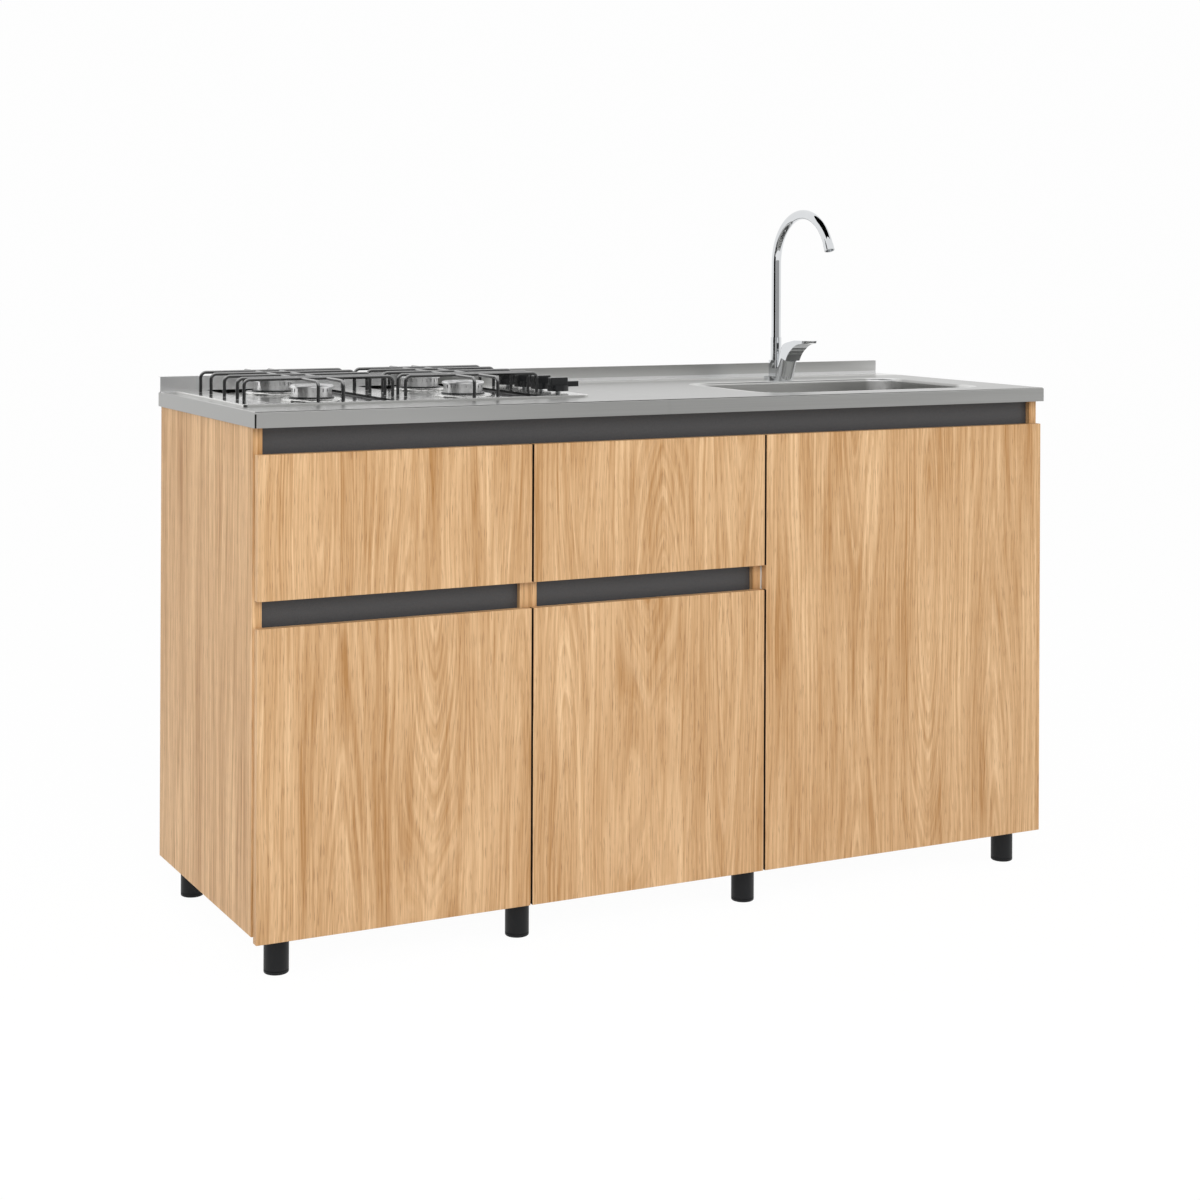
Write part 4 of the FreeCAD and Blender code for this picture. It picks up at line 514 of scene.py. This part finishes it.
def worked_metal(name, colour, mark, mark_mm, rough, relief_mm):
    """A metal with marks of one size, such as casting grain, plating spangle or wipe marks."""
    material, tree, surface = new_finish(name, Metallic=1.0)
    place = add(tree, "TexCoord").outputs["Object"]
    marks = add(tree, "TexNoise", {"Vector": place, "Scale": 1 / (mark_mm * MM), "Detail": 3}).outputs[0]
    spread = {"Value": marks, "From Min": MARK_RANGE[0], "From Max": MARK_RANGE[1]}
    shade = add(tree, "MapRange", spread).outputs[0]
    colours = add(tree, "Mix", {0: shade, 6: linear(mark), 7: linear(colour)}, data_type="RGBA").outputs[2]
    tree.links.new(colours, surface.inputs["Base Color"])
    blur = add(tree, "MapRange", {"Value": marks, "To Min": rough[0], "To Max": rough[1]}).outputs[0]
    tree.links.new(blur, surface.inputs["Roughness"])
    relief = add(tree, "Bump", {"Strength": 0.3, "Distance": relief_mm * MM, "Height": marks})
    tree.links.new(relief.outputs[0], surface.inputs["Normal"])
    return material


# Each has its colour, its marks' colour and size in millimetres, its range of roughness and its relief.
chromium = worked_metal("bright_chromium_plate", "#DEE0E2", "#D8DADC", 60, (0.02, 0.04), 0.001)
polished_steel = worked_metal("polished_stainless", "#CFCFCD", "#C2C2C0", 12, (0.14, 0.22), 0.01)
zinc_plate = worked_metal("zinc_plated_steel", "#BFC2C3", "#ABAEAF", 6, (0.28, 0.42), 0.01)
turned_brass = worked_metal("turned_brass", "#C9AA62", "#B8964E", 5, (0.25, 0.38), 0.01)
cast_aluminium = worked_metal("cast_aluminium", "#FAFAFA", "#F2F2F2", 12, (0.26, 0.34), 0.002)
print("metals", [m.name for m in (chromium, polished_steel, zinc_plate, turned_brass, cast_aluminium)])

# %% [markdown]
# ## Enamel and moulded plastic
#
# The pan supports are steel wire dipped in dark enamel, which flows a little before it is fired and keeps
# soft waves. The tops of the wires get a painted sheen, a paler grey that their upward normals pick out.
# The burner rings are black enamel too.
# Knobs and legs are moulded plastic with a spark-eroded, fine matt grain.

# %% Enamel and moulded plastic
# The painted sheen starts and is full where a normal points up by these shares.
TOP_SHEEN_RANGE = (0.2, 0.7)


def coated(name, colour, grain_mm, rough, relief_mm, index=1.5, gloss=0.5, top_sheen=None):
    """A dark coat or moulding with a grain of one size in its relief and its gloss, and perhaps a painted
    sheen on its tops.
    """
    material, tree, surface = new_finish(name, Base_Color=linear(colour), IOR=index, Specular_IOR_Level=gloss)
    coordinates = add(tree, "TexCoord")
    place = {"Vector": coordinates.outputs["Object"], "Scale": 1 / (grain_mm * MM), "Detail": 2}
    grain = add(tree, "TexNoise", place).outputs[0]
    if top_sheen is not None:
        upward = add(tree, "SeparateXYZ", {"Vector": coordinates.outputs["Normal"]}).outputs["Z"]
        sheen_span = {"Value": upward, "From Min": TOP_SHEEN_RANGE[0], "From Max": TOP_SHEEN_RANGE[1]}
        top = add(tree, "MapRange", sheen_span).outputs[0]
        tones = add(tree, "Mix", {0: top, 6: linear(colour), 7: linear(top_sheen)}, data_type="RGBA").outputs[2]
        tree.links.new(tones, surface.inputs["Base Color"])
    blur = add(tree, "MapRange", {"Value": grain, "To Min": rough[0], "To Max": rough[1]}).outputs[0]
    tree.links.new(blur, surface.inputs["Roughness"])
    relief = add(tree, "Bump", {"Strength": 0.4, "Distance": relief_mm * MM, "Height": grain})
    tree.links.new(relief.outputs[0], surface.inputs["Normal"])
    return material


# Each has its colour, its grain in millimetres, its range of roughness and its relief.
# The wires' paler tops are a painted sheen.
wire_enamel = coated("dark_wire_enamel", "#151617", 7, (0.06, 0.14), 0.05, index=1.8, top_sheen="#A0A0A0")
ring_enamel = coated("black_ring_enamel", "#141415", 6, (0.2, 0.32), 0.05)
knob_plastic = coated("moulded_black_phenolic", "#1D1E1F", 0.9, (0.16, 0.26), 0.01)
leg_plastic = coated("moulded_black_abs", "#17181A", 1.1, (0.4, 0.52), 0.03, gloss=0.25)
print("coats", [m.name for m in (wire_enamel, ring_enamel, knob_plastic, leg_plastic)])

# %% [markdown]
# ## Give every node its finish
#
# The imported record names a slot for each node, so most finishes are handed out by slot.
# Boards with their own oak and the three steel pieces are named one by one.

# %% Hand out the finishes
by_slot = {
    "white_board": white_melamine,
    "anthracite": anthracite_melamine,
    "hardboard": hardboard,
    "bright_steel": polished_steel,
    "chrome": chromium,
    "black_plastic": leg_plastic,
    "knob_plastic": knob_plastic,
    "grate_enamel": wire_enamel,
    "burner_enamel": ring_enamel,
    "burner_alloy": cast_aluminium,
    "brass": turned_brass,
    "zinc": zinc_plate,
}
finishes.update({"worktop": worktop_steel, "sink_bowl": bowl_steel, "hob_plate": hob_steel})
for name, node in nodes.items():
    # Blender puts a dot and a number after a name that is taken.
    slot = node.data.materials[0].name.split(".")[0]
    finish = finishes.get(name) or by_slot[slot]
    node.data.materials.clear()
    node.data.materials.append(finish)
print("dressed", len(nodes))

# %% [markdown]
# ## Backdrop
#
# The photograph is a studio cut-out: white all round, with even, soft light and hardly a shadow.
# A paper sweep could stand behind the object, but would need lamps of its own to be as even.
# So the world is white to the camera and in reflections, and dimmer as a light, to keep the colours full.

# %% World
def seen_directly(tree):
    """One for camera, mirror and glass rays, nothing for light bounced off dull surfaces."""
    path = add(tree, "LightPath")
    seen = path.outputs["Is Camera Ray"]
    for kind in ("Is Glossy Ray", "Is Transmission Ray"):
        seen = add(tree, "Math", {0: seen, 1: path.outputs[kind]}, operation="MAXIMUM").outputs[0]
    return seen


# The world's strength as a light, and as the camera and the metal see it.
AMBIENT = 0.40
SEEN = 0.988
world = bpy.data.worlds.new("white_studio")
bpy.context.scene.world = world
world.use_nodes = True
# The world isn't sampled as a lamp, because that light would pass through the cards set up below.
world.cycles.sampling_method = "NONE"
sky = world.node_tree
level = add(sky, "MapRange", {"Value": seen_directly(sky), "To Min": AMBIENT, "To Max": SEEN}).outputs[0]
sky.links.new(level, sky.nodes["Background"].inputs["Strength"])
sky.nodes["Background"].inputs["Color"].default_value = linear("#FFFFFF")
print("world", world.name)

# %% [markdown]
# ## Floor
#
# The floor is white in the same way but keeps a share of its own shading, so the object still has a shadow.
# A shadow catcher would need a second picture to lie on, so a glow is mixed into plain paper instead.

# %% Floor
def sheet(name, corners):
    """A flat stage sheet from its four corners."""
    mesh = bpy.data.meshes.new(name)
    mesh.from_pydata(corners, [], [(0, 1, 2, 3)])
    card = bpy.data.objects.new(name, mesh)
    bpy.context.scene.collection.objects.link(card)
    return card


REACH = 40.0
# This share of the floor is seen as plain white, and the rest keeps its shading.
WHITE_SHARE = 0.95
# The floor glows a little over white, so that it meets the backdrop without a seam.
FLOOR_GLOW = 1.0185
square_ends = ((-REACH, -REACH), (REACH, -REACH), (REACH, REACH), (-REACH, REACH))
floor = sheet("studio_floor", [(x, y, 0) for x, y in square_ends])
paper, tree, surface = new_finish("white_studio_paper", Base_Color=linear("#F4F4F4"), Roughness=0.9)
glow = add(tree, "Emission", {"Color": linear("#FFFFFF"), "Strength": FLOOR_GLOW}).outputs[0]
share = add(tree, "Math", {0: seen_directly(tree), 1: WHITE_SHARE}, operation="MULTIPLY").outputs[0]
mixed = add(tree, "MixShader", {0: share, 1: surface.outputs[0], 2: glow}).outputs[0]
tree.links.new(mixed, tree.nodes["Material Output"].inputs["Surface"])
floor.data.materials.append(paper)
print("stage", floor.name)

# %% [markdown]
# ## Cards for the metal
#
# Steel and chrome show what stands round them, and in an all-white room they would vanish.
# Photographers set up cards for that, and these do the same, but only reflections can see them.
# The grey card greys the steel. The two black flags make the dark streaks on the tap's stem and arch.

# %% Cards for the metal
def upright(start, end, low, high):
    """Corners of an upright card between two points of the floor plan."""
    return [(*start, low), (*end, low), (*end, high), (*start, high)]


# Places are in metres, as for the lamps and the camera.
cards = {
    "front_card": ("#A8A8A8", upright((-7, -7), (7, -7), 0.02, 3.2)),
    "left_flag": ("#0A0A0A", upright((-2.65, -2.41), (-3.53, 0.72), 0.3, 2.8)),
    "roof_flag": ("#050505", [(-1.2, -1.4, 3.1), (2.4, -1.4, 3.1), (2.4, 0.8, 3.1), (-1.2, 0.8, 3.1)]),
}
for name, (colour, corners) in cards.items():
    card = sheet(name, corners)
    felt, tree, surface = new_finish(name)
    flat = add(tree, "Emission", {"Color": linear(colour), "Strength": 1.0}).outputs[0]
    tree.links.new(flat, tree.nodes["Material Output"].inputs["Surface"])
    card.data.materials.append(felt)
    card.visible_camera = False
    card.visible_diffuse = False
    card.visible_shadow = False
    card.visible_transmission = False
print("cards", list(cards))

# %% [markdown]
# ## Lamps
#
# Three large soft boxes light the fronts evenly, with the key a little to the left, as in the photograph.
# Reflections don't see them, because a square of light on the steel would give the set away.

# %% Lamps
def soft_box(name, place, aim, size, power):
    """A square lamp, aimed at a point."""
    lamp = bpy.data.lights.new(name, "AREA")
    lamp.size = size
    lamp.energy = power
    holder = bpy.data.objects.new(name, lamp)
    bpy.context.scene.collection.objects.link(holder)
    holder.location = place
    holder.rotation_mode = "QUATERNION"
    holder.rotation_quaternion = (Vector(aim) - Vector(place)).to_track_quat("-Z", "Y")
    holder.visible_glossy = False
    return holder


MIDDLE = (0.0, 0.0, 0.5)
lamps = [
    soft_box("key_box", (-1.6, -4.2, 3.0), MIDDLE, 2.6, 102),
    soft_box("fill_box", (3.4, -3.4, 2.0), MIDDLE, 2.4, 42),
    soft_box("side_box", (-4.2, -0.6, 2.0), MIDDLE, 2.0, 44),
]
print("lamps", [lamp.name for lamp in lamps])

# %% [markdown]
# ## Camera
#
# The verticals in the photograph are parallel, so the camera looks level and is shifted instead of tilted.
# Its place, turn, lens and shift come from fitting the model's corners to the photograph.

# %% Camera
lens = bpy.data.cameras.new("photo_camera")
lens.sensor_width = 36.0
lens.lens = 64.168
lens.shift_x = 0.0180
lens.shift_y = -0.2883
camera = bpy.data.objects.new("photo_camera", lens)
bpy.context.scene.collection.objects.link(camera)
camera.location = (-1.777548, -3.353263, 1.104982)
camera.rotation_euler = (math.radians(90), math.radians(-0.233), math.radians(-26.965))
bpy.context.scene.camera = camera
bpy.context.scene.view_settings.view_transform = "Standard"
print("camera at", [round(v, 3) for v in camera.location])
